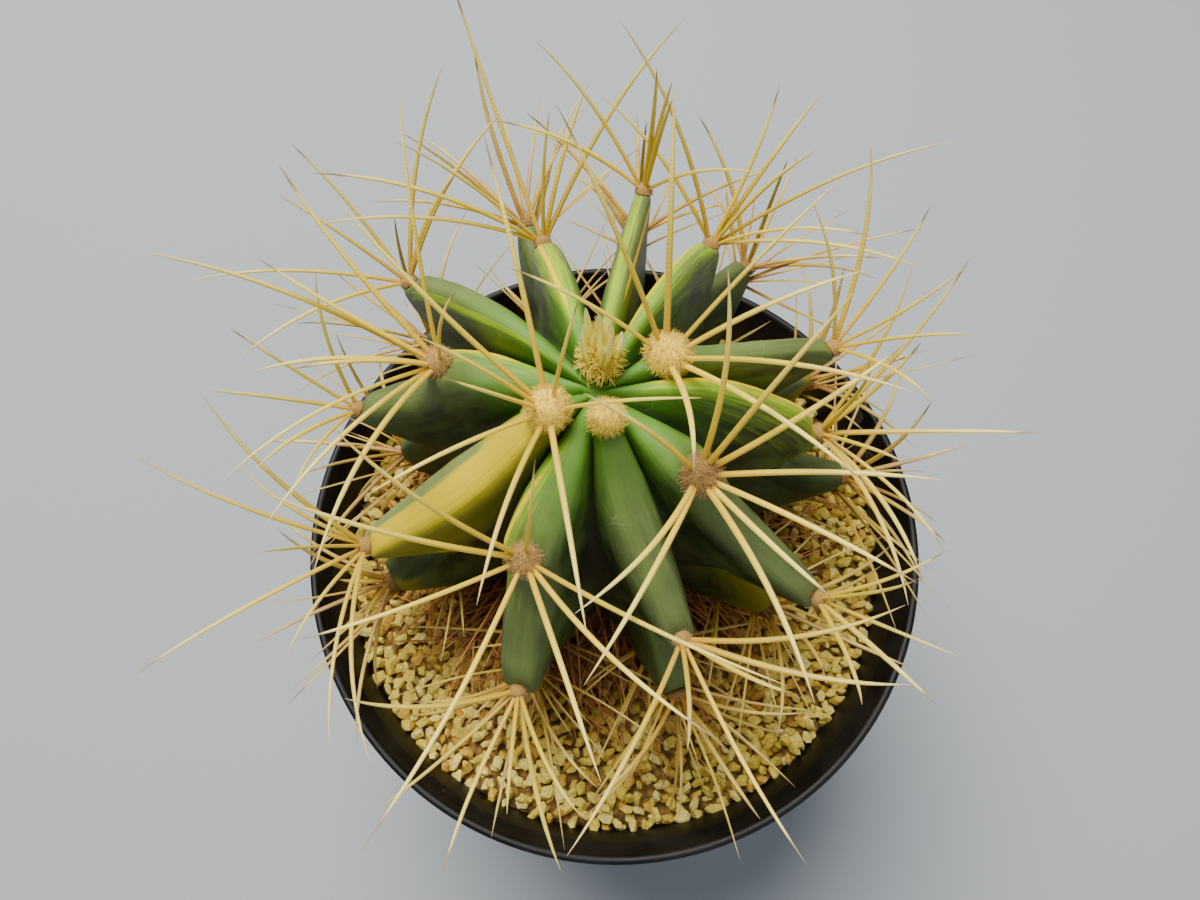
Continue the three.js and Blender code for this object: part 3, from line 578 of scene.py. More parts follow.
class Growth:
    """Places spines one by one, each turned a little where it would touch another or a rib."""

    def __init__(self):
        steps = 2 * np.arange(RIB_STEPS) / RIB_STEPS - 1
        self.points = stem_grid(LEVELS, steps).reshape(-1, 3)
        self.owners = np.full(len(self.points), -1)

    def is_clear(self, samples, owner, seat, clearance):
        """True where a spine keeps clear of the ribs and of other clusters' spines."""
        is_stem = self.owners < 0
        near_seat = np.linalg.norm(self.points - seat, axis=1) < OWN_REACH
        others = self.points[~((self.owners == owner) | (is_stem & near_seat))]
        gaps = np.linalg.norm(samples[:, None] - others[None], axis=2)
        return gaps.min() > clearance

    def place(self, owner, t, wanted, clearance=SPINE_CLEARANCE):
        """The first of a spine's tries that is clear, which then takes its room, or None."""
        seat, _ = seat_of(t)
        for turn, lift, part in TRIES:
            line = spine_line(t, wanted[0] + turn, wanted[1] + lift, wanted[2] * part)
            samples = samples_of(line)
            if is_over_pot(samples) and self.is_clear(samples, owner, seat, clearance):
                self.points = np.vstack([self.points, samples])
                self.owners = np.append(self.owners, np.full(len(samples), owner))
                return line
        return None


def grow_spines():
    """The lines of the solids' spines, by node, and of those that find room because these are thinner."""
    draw = make_random(SEED)
    growth = Growth()
    grown, left = {}, []
    for owner, (name, _, t) in enumerate(all_tubercles()):
        is_bare = name == f"areole_{BARE_YOUNG}_young"
        wanted = t.spines if t.spines or is_bare else fan_spines(t, draw)
        lines = [growth.place(owner, t, spine) for spine in wanted]
        grown[name] = [line for line in lines if line is not None]
        left += [(owner, name, t, spine) for spine, line in zip(wanted, lines) if line is None]
    for owner, name, t, spine in left:
        line = growth.place(owner, t, spine, SECOND_CLEARANCE)
        if line is not None:
            grown[name].append(line)
    return grown


# Objects, attributes and node trees


def link(name, data):
    """A new object in the scene."""
    piece = bpy.data.objects.new(name, data)
    bpy.context.scene.collection.objects.link(piece)
    return piece


def mesh_piece(name, points, faces, edges=()):
    """A piece from points in millimetres."""
    mesh = bpy.data.meshes.new(name)
    mesh.from_pydata((np.asarray(points) * MM).tolist(), list(edges), faces)
    mesh.polygons.foreach_set("use_smooth", np.ones(len(mesh.polygons), bool))
    return link(name, mesh)


def face_outward(piece):
    """Turns all faces of a closed piece outwards."""
    bm = bmesh.new()
    bm.from_mesh(piece.data)
    bmesh.ops.recalc_face_normals(bm, faces=bm.faces)
    bm.to_mesh(piece.data)
    bm.free()


def plain_mesh(piece):
    """What a piece's modifiers make of it, as a plain mesh."""
    bpy.context.view_layer.update()
    graph = bpy.context.evaluated_depsgraph_get()
    return bpy.data.meshes.new_from_object(piece.evaluated_get(graph))


def store(piece, name, values):
    """Keeps one number for each point of a piece, for its node trees to read."""
    attribute = piece.data.attributes.new(name, "FLOAT", "POINT")
    attribute.data.foreach_set("value", np.asarray(values, np.float32))


def add(tree, kind, inputs=None, out=None, stops=None, **settings):
    """Adds a node with its settings and links, and gives one of its outputs."""
    node = tree.nodes.new(kind)
    for name, value in settings.items():
        setattr(node, name, value)
    for key, value in (inputs or {}).items():
        by_name = [s for s in node.inputs if s.enabled and s.name == key]
        socket = by_name[0] if by_name else node.inputs[key]
        if isinstance(value, bpy.types.NodeSocket):
            tree.links.new(value, socket)
        else:
            socket.default_value = value
    if stops:
        elements = node.color_ramp.elements
        while len(elements) < len(stops):
            elements.new(0.5)
        for element, (position, value) in zip(elements, stops):
            element.position = position
            element.color = value
    if out is None:
        return next((s for s in node.outputs if s.enabled), node)
    return node.outputs[out]


def new_tree(name, inputs):
    """A geometry tree with its named inputs, and the sockets that give them."""
    tree = bpy.data.node_groups.new(name, "GeometryNodeTree")
    tree.interface.new_socket("Geometry", in_out="OUTPUT", socket_type="NodeSocketGeometry")
    tree.interface.new_socket("Geometry", in_out="INPUT", socket_type="NodeSocketGeometry")
    for label, kind, default in inputs:
        socket = tree.interface.new_socket(label, in_out="INPUT", socket_type=kind)
        if default is not None:
            socket.default_value = default
    node = tree.nodes.new("NodeGroupInput")
    return tree, {s.name: s for s in node.outputs if s.name}


def close_tree(tree, geometry, material):
    """Ends a tree with plain geometry in its material."""
    plain = add(tree, "GeometryNodeRealizeInstances", {"Geometry": geometry})
    dressed = add(tree, "GeometryNodeSetMaterial", {"Geometry": plain, "Material": material})
    end = tree.nodes.new("NodeGroupOutput")
    tree.links.new(dressed, end.inputs["Geometry"])


def grown_from(name, source, tree, settings):
    """A new plain piece with what a tree makes of a source, which is then removed."""
    modifier = source.modifiers.new(tree.name, "NODES")
    modifier.node_group = tree
    for item in tree.interface.items_tree:
        if item.item_type == "SOCKET" and item.in_out == "INPUT" and item.name in settings:
            modifier[item.identifier] = settings[item.name]
    mesh = plain_mesh(source)
    bpy.data.objects.remove(source)
    if not mesh.polygons:
        raise RuntimeError(f"{name}: the node tree {tree.name} made no faces")
    mesh.name = name
    return link(name, mesh)


def dress(piece, material, slot, *nodes):
    """Gives a finished piece its material and its place in the frame."""
    piece.data.materials.clear()
    piece.data.materials.append(material)
    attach(piece, "root")
    if nodes:
        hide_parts(*nodes)


def start_material(name):
    """A new material and its empty node tree."""
    material = bpy.data.materials.new(name)
    material.use_nodes = True
    tree = material.node_tree
    tree.nodes.clear()
    return material, tree


def end_material(tree, **sockets):
    """Ends a material's tree with its shader."""
    shader = add(tree, "ShaderNodeBsdfPrincipled", sockets)
    add(tree, "ShaderNodeOutputMaterial", {"Surface": shader})


# Settings


class PotSettings(PropertyGroup):
    """Sizes and colours of the pot."""

    sides: IntProperty(name="Sides", description="Steps round the pot", default=160, min=24)
    lip_round: FloatProperty(
        name="Lip rounding", description="Radius of the rolled lip", default=0.6 * MM, unit="LENGTH",
    )
    plastic: FloatVectorProperty(
        name="Plastic", description="Colour of the moulded plastic", size=4, subtype="COLOR",
        default=colour("#060608"),
    )
    dust: FloatVectorProperty(
        name="Dust", description="Colour of dust and dried water", size=4, subtype="COLOR",
        default=colour("#857c72"),
    )


class GritSettings(PropertyGroup):
    """Sizes and colours of the top dressing."""

    smallest: FloatProperty(
        name="Smallest grain", description="Radius of the smallest grain", default=0.95 * MM, unit="LENGTH",
    )
    largest: FloatProperty(
        name="Largest grain", description="Radius of the largest grain", default=1.55 * MM, unit="LENGTH",
    )
    spacing: FloatProperty(
        name="Spacing", description="Least distance between grains", default=1.65 * MM, unit="LENGTH",
    )
    seed: IntProperty(name="Seed", description="Seed of the scatter", default=7)
    pale: FloatVectorProperty(
        name="Pale", description="Colour of the palest grains", size=4, subtype="COLOR",
        default=colour("#f6e88c"),
    )
    tan: FloatVectorProperty(
        name="Tan", description="Colour of most grains", size=4, subtype="COLOR", default=colour("#efd65c"),
    )
    brown: FloatVectorProperty(
        name="Brown", description="Colour of the darkest grains", size=4, subtype="COLOR",
        default=colour("#bd8c30"),
    )


class StemSettings(PropertyGroup):
    """Fineness and colours of the stem."""

    rings: IntProperty(name="Rings", description="Rings from crown to root", default=170, min=40)
    rib_steps: IntProperty(name="Rib steps", description="Steps across each rib", default=26, min=8)
    deep: FloatVectorProperty(
        name="Deep green", description="Skin in the valleys", size=4, subtype="COLOR",
        default=colour("#2a341a"),
    )
    green: FloatVectorProperty(
        name="Green", description="Most of the skin", size=4, subtype="COLOR", default=colour("#536830"),
    )
    # The bloom colour also serves as the painted highlight on the crests, and it colours the green streaks.
    bloom: FloatVectorProperty(
        name="Bloom", description="Waxy bloom on the crests", size=4, subtype="COLOR",
        default=colour("#78894e"),
    )
    young: FloatVectorProperty(
        name="Young green", description="New skin at the crown", size=4, subtype="COLOR",
        default=colour("#5a9226"),
    )
    lime: FloatVectorProperty(
        name="Lime", description="Pale green streaks", size=4, subtype="COLOR", default=colour("#98b80a"),
    )
    yellow: FloatVectorProperty(
        name="Yellow", description="Skin without green", size=4, subtype="COLOR", default=colour("#dcc200"),
    )


class WoolSettings(PropertyGroup):
    """Sizes and colours of the wool on the areoles."""

    length: FloatProperty(
        name="Hair length", description="Length of the longest new hairs", default=1.0 * MM, unit="LENGTH",
    )
    radius: FloatProperty(
        name="Hair radius", description="Radius of a hair at its root", default=0.054 * MM, unit="LENGTH",
    )
    density: FloatProperty(
        name="Density", description="Hairs on a square millimetre of a young pad", default=18.0, min=0,
    )
    seed: IntProperty(name="Seed", description="Seed of the hairs", default=3)
    cream: FloatVectorProperty(
        name="Cream", description="Wool of young areoles",
        size=4, subtype="COLOR", default=colour("#ffe44c"),
    )
    tan: FloatVectorProperty(
        name="Tan", description="Wool of older areoles", size=4, subtype="COLOR", default=colour("#b48a48"),
    )


class SpineSettings(PropertyGroup):
    """Sizes and colours of the spines."""

    radius: FloatProperty(
        name="Radius", description="Half the width of a spine near its root",
        default=0.38 * MM, unit="LENGTH",
    )
    flatness: FloatProperty(
        name="Flatness", description="Thickness over width", default=0.62, min=0.2, max=1,
    )
    sides: IntProperty(name="Sides", description="Sides of a spine", default=6, min=3)
    root: FloatVectorProperty(
        name="Root", description="Colour at the root", size=4, subtype="COLOR", default=colour("#d6ac2c"),
    )
    straw: FloatVectorProperty(
        name="Straw", description="Colour of the shaft", size=4, subtype="COLOR", default=colour("#e0c63e"),
    )
    ivory: FloatVectorProperty(
        name="Ivory", description="Colour towards the tip",
        size=4, subtype="COLOR", default=colour("#ecd86a"),
    )
    dry: FloatVectorProperty(
        name="Dry", description="Colour of old spines", size=4, subtype="COLOR", default=colour("#a8652c"),
    )


class StageSettings(PropertyGroup):
    """The floor, the lights and the camera."""

    floor: FloatVectorProperty(
        name="Floor", description="Colour of the floor", size=4, subtype="COLOR", default=colour("#a2a9b0"),
    )
    key: FloatProperty(name="Key light", description="Power of the key light", default=13.0, min=0)
    fill: FloatProperty(name="Fill light", description="Power of the fill light", default=2.0, min=0)
    sky: FloatProperty(name="Sky", description="Strength of the even light", default=0.22, min=0)


class CactusSettings(PropertyGroup):
    """All settings of the potted cactus."""

    pot: PointerProperty(type=PotSettings)
    grit: PointerProperty(type=GritSettings)
    stem: PointerProperty(type=StemSettings)
    wool: PointerProperty(type=WoolSettings)
    spines: PointerProperty(type=SpineSettings)
    stage: PointerProperty(type=StageSettings)


# The pot

FOOT_HEIGHT = 2.0
FOOT_WIDTH = 6.0
FLOOR_THICKNESS = 2.0
HUB_RADIUS = 11.0
DRAFT = 0.5
EDGE_ROUND = 0.4
EDGE_STEPS = 4
FLOOR_ROUND = 1.5
FLOOR_STEPS = 5
WALL_FOOT = 2.0
WALL_STEPS = 12
COLLAR_HEIGHT = 6.0
COLLAR_STEP = 1.75
LIP_DEPTH = 4.0
LIP_STEPS = 7
LIP_TOP = ((0.9, 0.04), (1.2, 0.2), (1.42, 0.5), (1.55, 0.95), (1.8, 1.6), (2.3, 2.6), (2.85, 3.6))
DRAIN_HOLES = 8
DRAIN_RADIUS = 3.5
DRAIN_CIRCLE = 21.0
DRAIN_DEPTH = 8.0
DRAIN_SIDES = 32
SHARP_EDGE = 35
ON_AXIS = 1e-9


def arc(centre, radius, start, end, steps):
    """Points of an arc in a profile, by angle in degrees."""
    turns = np.radians(np.linspace(start, end, steps))
    return [(centre[0] + radius * math.cos(t), centre[1] + radius * math.sin(t)) for t in turns]


def pot_profile(lip_round):
    """Half of the pot's section, from the middle of its underside round to the middle of its floor."""
    edge = EDGE_ROUND
    collar_foot = RIM_LEVEL - COLLAR_HEIGHT
    floor_top = FOOT_HEIGHT + FLOOR_THICKNESS
    ring_inside = BASE_RADIUS - FOOT_WIDTH
    profile = [(0, 0), (HUB_RADIUS - edge, 0)]
    profile += arc((HUB_RADIUS - edge, edge), edge, -90, 0, EDGE_STEPS)
    profile += [(HUB_RADIUS + DRAFT, FOOT_HEIGHT), (ring_inside - DRAFT, FOOT_HEIGHT)]
    profile += arc((ring_inside + edge, edge), edge, 180, 270, EDGE_STEPS)
    profile += arc((BASE_RADIUS - edge, edge), edge, -90, 0, EDGE_STEPS)
    profile += [(RIM_RADIUS - COLLAR_STEP, collar_foot - edge)]
    profile += arc((RIM_RADIUS - DRAFT - edge, collar_foot + edge), edge, -90, 0, EDGE_STEPS)
    profile += arc((RIM_RADIUS - lip_round, RIM_LEVEL - lip_round), lip_round, 0, 90, LIP_STEPS)
    profile += [(RIM_RADIUS - out, RIM_LEVEL - drop) for out, drop in LIP_TOP]
    heights = np.linspace(RIM_LEVEL - LIP_DEPTH, floor_top + WALL_FOOT, WALL_STEPS)
    profile += [(inner_radius(z), z) for z in heights]
    corner = (inner_radius(floor_top) - FLOOR_ROUND, floor_top + FLOOR_ROUND)
    profile += arc(corner, FLOOR_ROUND, 0, -90, FLOOR_STEPS)
    return profile + [(0, floor_top)]


def turned(name, profile, sides):
    """A closed mesh turned from a profile whose two ends lie on the axis."""
    bm = bmesh.new()
    rings = []
    for out, up in profile:
        if out < ON_AXIS:
            rings.append([bm.verts.new((0, 0, up * MM))])
            continue
        ring = []
        for k in range(sides):
            turn = math.tau * k / sides
            ring.append(bm.verts.new((out * math.cos(turn) * MM, out * math.sin(turn) * MM, up * MM)))
        rings.append(ring)
    for previous, ring in zip(rings, rings[1:]):
        for k in range(sides):
            after = (k + 1) % sides
            if len(previous) == 1:
                bm.faces.new((previous[0], ring[after], ring[k]))
            elif len(ring) == 1:
                bm.faces.new((previous[k], previous[after], ring[0]))
            else:
                bm.faces.new((previous[k], previous[after], ring[after], ring[k]))
    bmesh.ops.recalc_face_normals(bm, faces=bm.faces)
    mesh = bpy.data.meshes.new(name)
    bm.to_mesh(mesh)
    bm.free()
    return link(name, mesh)


def drill(piece, tools):
    """Cuts the tools out of a piece and removes them."""
    for tool in tools:
        modifier = piece.modifiers.new("hole", "BOOLEAN")
        modifier.object = tool
        modifier.operation = "DIFFERENCE"
        modifier.solver = "EXACT"
    mesh = plain_mesh(piece)
    piece.modifiers.clear()
    piece.data = mesh
    for tool in tools:
        bpy.data.objects.remove(tool)


def smooth_by_angle(piece, degrees):
    """Smooth shading, with edges sharper than an angle left crisp."""
    bm = bmesh.new()
    bm.from_mesh(piece.data)
    limit = math.radians(degrees)
    for face in bm.faces:
        face.smooth = True
    for edge in bm.edges:
        edge.smooth = not edge.is_manifold or edge.calc_face_angle() < limit
    bm.to_mesh(piece.data)
    bm.free()


def pot_plastic(settings):
    """Black polypropylene, injection moulded: a satin shell with dust, and rings of dried water inside."""
    material, tree = start_material("black_polypropylene_moulded")
    place = add(tree, "ShaderNodeTexCoord", out="Object")
    film = add(tree, "ShaderNodeTexNoise", {"Vector": place, "Scale": per_mm(9), "Detail": 6.0})
    grain = add(tree, "ShaderNodeTexNoise", {"Vector": place, "Scale": per_mm(0.5), "Detail": 2.0})
    drops = add(tree, "ShaderNodeTexVoronoi", {"Vector": place, "Scale": per_mm(7), "Randomness": 1.0})
    ring = add(tree, "ShaderNodeValToRGB", {"Fac": drops}, stops=[
        (out, (shade, shade, shade, 1))
        for out, shade in ((0.0, 0.35), (0.14, 0.5), (0.17, 0.9), (0.2, 0.0))
    ])
    where = add(tree, "ShaderNodeTexNoise", {"Vector": place, "Scale": per_mm(24), "Detail": 1.0})
    some = add(tree, "ShaderNodeMapRange", {"Value": where, "From Min": 0.52, "From Max": 0.6})
    spots = add(tree, "ShaderNodeMath", {0: ring, 1: some}, operation="MULTIPLY")
    veil = add(tree, "ShaderNodeMapRange", {
        "Value": film, "From Min": 0.42, "From Max": 0.8, "To Max": 0.06,
    })
    spotted = add(tree, "ShaderNodeMath", {0: spots, 1: 0.3}, operation="MULTIPLY")
    dirt = add(tree, "ShaderNodeMath", {0: veil, 1: spotted}, operation="ADD", use_clamp=True)
    base = add(tree, "ShaderNodeMix", {
        "Factor": dirt, "A": tuple(settings.plastic), "B": tuple(settings.dust),
    }, data_type="RGBA")
    rough = add(tree, "ShaderNodeMapRange", {"Value": film, "To Min": 0.4, "To Max": 0.62})
    bump = add(tree, "ShaderNodeBump", {"Height": grain, "Strength": 0.12, "Distance": 0.05 * MM})
    end_material(tree, **{
        "Base Color": base, "Roughness": rough, "Normal": bump, "IOR": 1.49, "Specular IOR Level": 0.28,
    })
    return material


class CACTUS_OT_pot(Operator):
    """Builds the nursery pot with its rolled lip, collar, foot ring and drain holes"""

    bl_idname = "cactus.pot"
    bl_label = "Build pot"

    def execute(self, context):
        settings = context.scene.cactus.pot
        pot = turned("nursery_pot", pot_profile(settings.lip_round / MM), settings.sides)
        bore = [(0, 0), (DRAIN_RADIUS, 0), (DRAIN_RADIUS, DRAIN_DEPTH), (0, DRAIN_DEPTH)]
        tools = []
        for k in range(DRAIN_HOLES):
            turn = (k + 0.5) * math.tau / DRAIN_HOLES
            hole = turned(f"hole_{k}", bore, DRAIN_SIDES)
            for vertex in hole.data.vertices:
                vertex.co.x += DRAIN_CIRCLE * math.cos(turn) * MM
                vertex.co.y += DRAIN_CIRCLE * math.sin(turn) * MM
            tools.append(hole)
        drill(pot, tools)
        smooth_by_angle(pot, SHARP_EDGE)
        dress(pot, pot_plastic(settings), "pot", "pot")
        return {"FINISHED"}


# The soil


def peat():
    """Peat and bark potting soil: dark crumbs with a few pale fibres."""
    material, tree = start_material("peat_potting_soil")
    place = add(tree, "ShaderNodeTexCoord", out="Object")
    crumbs = add(tree, "ShaderNodeTexVoronoi", {"Vector": place, "Scale": per_mm(1.6)})
    fibre = add(tree, "ShaderNodeTexNoise", {"Vector": place, "Scale": per_mm(0.8), "Detail": 5.0})
    base = add(tree, "ShaderNodeValToRGB", {"Fac": fibre}, stops=[
        (0.3, colour("#1d140e")), (0.6, colour("#3f2d20")), (0.75, colour("#7a5f45")),
    ])
    bump = add(tree, "ShaderNodeBump", {"Height": crumbs, "Strength": 1.0, "Distance": 0.6 * MM})
    end_material(tree, **{"Base Color": base, "Roughness": 0.95, "Normal": bump})
    return material


class CACTUS_OT_soil(Operator):
    """Gives the soil inside the pot its crumbly finish"""

    bl_idname = "cactus.soil"
    bl_label = "Dress soil"

    def execute(self, context):
        soil = frame["nodes"]["soil"]
        soil.data.materials.clear()
        soil.data.materials.append(peat())
        return {"FINISHED"}


# The grit

BED_DROP = 1.9
BED_RINGS = 26
BED_SIDES = 120
BED_FIT = 0.992
BED_SWELL = 0.55
BED_SWELL_WIDTH = 14
BED_SWELL_SLICE = 0.3
GRAIN_KINDS = 12
GRAIN_CORNERS = 12
GOLDEN_TURN = 2.4

# A grain's length, width and thickness, each with its spread, and the spread of its corners
GRAIN_STRETCH = ((1.3, 0.5), (0.85, 0.2), (0.55, 0.2))
CORNER_OUT = (0.82, 0.26)
CORNER_TURN = 0.9

# Each layer of grains: its name, its height over the bed and its spacing over the finest
GRAIN_LAYERS = (("grains_lower", 0.2, 1.2), ("grains_upper", 1.15, 1.0))


def bed_points(z_of):
    """Rings of points from the stem's hole out to the pot's wall, at the heights that z_of gives."""
    points = []
    for part in np.linspace(0, 1, BED_RINGS):
        for k in range(BED_SIDES):
            turn = math.tau * k / BED_SIDES
            way = np.array([math.cos(turn), math.sin(turn)])
            near = np.array(AXIS) + GRAVEL_HOLE * way
            far = inner_radius(GRAVEL_LEVEL) * way * BED_FIT
            x, y = near + (far - near) * part
            points.append((x, y, z_of(x, y)))
    return np.array(points)


def ring_faces(rings, sides, start=0):
    """Faces between rings of points that follow each other."""
    faces = []
    for row in range(rings - 1):
        for k in range(sides):
            a, b = start + row * sides + k, start + row * sides + (k + 1) % sides
            faces.append((a, a + sides, b + sides, b))
    return faces


def bed_surface(x, y):
    """Height of the bed under the grains, in millimetres."""
    swell = noise.noise(Vector((x / BED_SWELL_WIDTH, y / BED_SWELL_WIDTH, BED_SWELL_SLICE)))
    return GRAVEL_LEVEL - BED_DROP + BED_SWELL * swell


def make_bed():
    """The closed body of the dressing, which the grains lie in."""
    top = bed_points(bed_surface)
    bottom_level = GRAVEL_BOX[0].z / MM
    bottom = bed_points(lambda x, y: bottom_level)
    count = len(top)
    faces = ring_faces(BED_RINGS, BED_SIDES)
    faces += [tuple(reversed(f)) for f in ring_faces(BED_RINGS, BED_SIDES, count)]
    edge = (BED_RINGS - 1) * BED_SIDES
    for k in range(BED_SIDES):
        after = (k + 1) % BED_SIDES
        faces.append((k, after, count + after, count + k))
        faces.append((edge + after, edge + k, count + edge + k, count + edge + after))
    bed = mesh_piece("gravel_bed", np.vstack([top, bottom]), faces)
    face_outward(bed)
    return bed


def grain_shape(kind):
    """An angular chip of stone: the hull of a few points on a long, flat ball."""
    draw = make_random(SEED + GRAIN_SEED_STEP * kind)
    stretch = Vector([least + spread * draw() for least, spread in GRAIN_STRETCH])
    bm = bmesh.new()
    for k in range(GRAIN_CORNERS):
        level = 1 - 2 * (k + 0.5) / GRAIN_CORNERS
        turn = GOLDEN_TURN * k + CORNER_TURN * draw()
        out = math.sqrt(1 - level * level)
        reach = CORNER_OUT[0] + CORNER_OUT[1] * draw()
        bm.verts.new(Vector((out * math.cos(turn), out * math.sin(turn), level)) * reach * stretch)
    hull = bmesh.ops.convex_hull(bm, input=bm.verts)
    bmesh.ops.delete(bm, geom=[v for v in hull["geom_interior"] if v.is_valid], context="VERTS")
    bmesh.ops.recalc_face_normals(bm, faces=bm.faces)
    mesh = bpy.data.meshes.new(f"grain_{kind}")
    bm.to_mesh(mesh)
    bm.free()
    return mesh


def scatter_tree():
    """Grains of several kinds over a surface, each turned and sized at random."""
    tree, given = new_tree("Scattered grains", [
        ("Grains", "NodeSocketCollection", None), ("Spacing", "NodeSocketFloat", 2.0 * MM),
        ("Smallest", "NodeSocketFloat", 0.8 * MM), ("Largest", "NodeSocketFloat", 1.5 * MM),
        ("Seed", "NodeSocketInt", 0), ("Material", "NodeSocketMaterial", None),
    ])
    spots = add(tree, "GeometryNodeDistributePointsOnFaces", {
        "Mesh": given["Geometry"], "Distance Min": given["Spacing"], "Density Max": 1e6,
        "Seed": given["Seed"],
    }, distribute_method="POISSON")
    kinds = add(tree, "GeometryNodeCollectionInfo", {
        "Collection": given["Grains"], "Separate Children": True, "Reset Children": True,
    })
    turn = add(tree, "FunctionNodeRandomValue", {
        "Min": (0.0, 0.0, 0.0), "Max": (math.tau,) * 3, "Seed": given["Seed"],
    }, data_type="FLOAT_VECTOR")
    size = add(tree, "FunctionNodeRandomValue", {
        "Min": given["Smallest"], "Max": given["Largest"], "Seed": 1,
    }, out=1, data_type="FLOAT")
    grains = add(tree, "GeometryNodeInstanceOnPoints", {
        "Points": spots, "Instance": kinds, "Pick Instance": True, "Rotation": turn, "Scale": size,
    })
    tone = add(tree, "FunctionNodeRandomValue", {"Seed": 2}, out=1, data_type="FLOAT")
    toned = add(tree, "GeometryNodeStoreNamedAttribute", {
        "Geometry": grains, "Name": "tone", "Value": tone,
    }, data_type="FLOAT", domain="INSTANCE")
    close_tree(tree, toned, given["Material"])
    return tree


def grit_stone(settings):
    """Sieved weathered grit: matt yellow-tan grains, browner and darker towards the stem, partly from the
    stain of dry litter and partly as painted shade under the plant.
    """
    material, tree = start_material("weathered_grit_sieved")
    place = add(tree, "ShaderNodeTexCoord", out="Object")
    tone = add(tree, "ShaderNodeAttribute", out="Fac", attribute_name="tone")
    grain = add(tree, "ShaderNodeValToRGB", {"Fac": tone}, stops=[
        (0.0, tuple(settings.brown)), (0.1, colour("#d2a83c")), (0.3, colour("#dcc648")),
        (0.5, tuple(settings.tan)), (0.75, colour("#f2e070")), (1.0, tuple(settings.pale)),
    ])
    speckle = add(tree, "ShaderNodeTexNoise", {"Vector": place, "Scale": per_mm(0.45), "Detail": 3.0})
    spotted = add(tree, "ShaderNodeMapRange", {
        "Value": speckle, "From Min": 0.35, "From Max": 0.7, "To Min": 0.72, "To Max": 1.12,
    })
    mottled = add(tree, "ShaderNodeVectorMath", {0: grain, "Scale": spotted}, operation="SCALE")
    centred = add(tree, "ShaderNodeMapping", {
        "Vector": place, "Location": (-AXIS[0] * MM, -AXIS[1] * MM, -GRAVEL_LEVEL * MM),
    })
    away = add(tree, "ShaderNodeVectorMath", {0: centred}, out="Value", operation="LENGTH")
    # Browner and darker towards the stem: partly the stain of the dry litter, partly painted shade under
    # the plant.
    ragged = add(tree, "ShaderNodeTexNoise", {"Vector": place, "Scale": per_mm(7), "Detail": 3.0})
    shift = add(tree, "ShaderNodeMath", {0: ragged, 1: 14 * MM, 2: away}, operation="MULTIPLY_ADD")
    near = add(tree, "ShaderNodeMapRange", {
        "Value": shift, "From Min": 33 * MM, "From Max": 53 * MM, "To Min": 1.0, "To Max": 0.0,
    })
    stain_and_shade = add(tree, "ShaderNodeMix", {
        "Factor": near, "A": (1, 1, 1, 1), "B": colour("#9c6a3a"),
    }, data_type="RGBA")
    base = add(tree, "ShaderNodeVectorMath", {0: mottled, 1: stain_and_shade}, operation="MULTIPLY")
    bump = add(tree, "ShaderNodeBump", {"Height": speckle, "Strength": 0.5, "Distance": 0.12 * MM})
    end_material(tree, **{"Base Color": base, "Roughness": 0.88, "Normal": bump})
    return material


def grit_bed():
    """The grit under the top grains: fine sand painted dark as shade, so that the gaps between the grains
    look deep.
    """
    material, tree = start_material("grit_sand_painted_shade")
    place = add(tree, "ShaderNodeTexCoord", out="Object")
    sand = add(tree, "ShaderNodeTexVoronoi", {"Vector": place, "Scale": per_mm(1.4)})
    # Painted shade: the sand is dark so that the gaps between the grains read as deep shade.
    base = add(tree, "ShaderNodeValToRGB", {"Fac": sand}, stops=[
        (0.0, colour("#a5823c")), (0.55, colour("#6b4f24")), (1.0, colour("#2a1d0e")),
    ])
    bump = add(tree, "ShaderNodeBump", {
        "Height": sand, "Strength": 1.0, "Distance": 0.5 * MM, "Filter Width": 1,
    })
    end_material(tree, **{"Base Color": base, "Roughness": 0.95, "Normal": bump})
    return material


class CACTUS_OT_grit(Operator):
    """Builds the top dressing: a bed, and the grains scattered over it in two layers"""

    bl_idname = "cactus.grit"
    bl_label = "Build grit"

    def execute(self, context):
        settings = context.scene.cactus.grit
        kinds = bpy.data.collections.new("grain_kinds")
        for kind in range(GRAIN_KINDS):
            kinds.objects.link(bpy.data.objects.new(f"grain_{kind}", grain_shape(kind)))
        tree = scatter_tree()
        stone = grit_stone(settings)
        for layer, (name, lift, spacing) in enumerate(GRAIN_LAYERS):
            points = bed_points(lambda x, y: bed_surface(x, y) + lift)
            ground = mesh_piece("ground", points, ring_faces(BED_RINGS, BED_SIDES))
            grains = grown_from(name, ground, tree, {
                "Grains": kinds, "Spacing": settings.spacing * spacing, "Smallest": settings.smallest,
                "Largest": settings.largest, "Seed": settings.seed + layer, "Material": stone,
            })
            dress(grains, stone, "gravel", "gravel")
        dress(make_bed(), grit_bed(), "gravel", "gravel")
        for item in list(kinds.objects):
            bpy.data.objects.remove(item)
        bpy.data.collections.remove(kinds)
        return {"FINISHED"}


# The stem

SEAT_SHARE = 0.75
SEAT_SOFTNESS = 0.35
SEAT_SLOPE = 0.32
SEAT_EDGE = 3.4
SEAT_FADE = 1.2
SEAT_ROOM = 5
STREAK_END = 0.05
MIDDLE_UP = 8
SWELL_FADE = 8
LEVEL_SAMPLES = 4001

# Where the fine rings lie closer together: the level, how far round it, and how much closer
FINE_LEVELS = ((TIP_LEVEL, 0.05, 1.6), (LOW_LEVEL, 0.04, 1.0), (0, 0.1, 0.8))

# Unevenness of the grown skin: its width and height, and where its noise starts
SWELLS = ((9.0, 0.32, (0, 0, 0)), (3.1, 0.12, (7, 1, 4)))

# How far noise frays the edge of each tone's streaks, and how soft the edge is
FRAY = {"lime": (2.6, 1.1), "yellow": (1.0, 0.4), "olive": (0.6, 0.5), "green": (0.9, 0.5)}
FRAY_INSET = 0.05


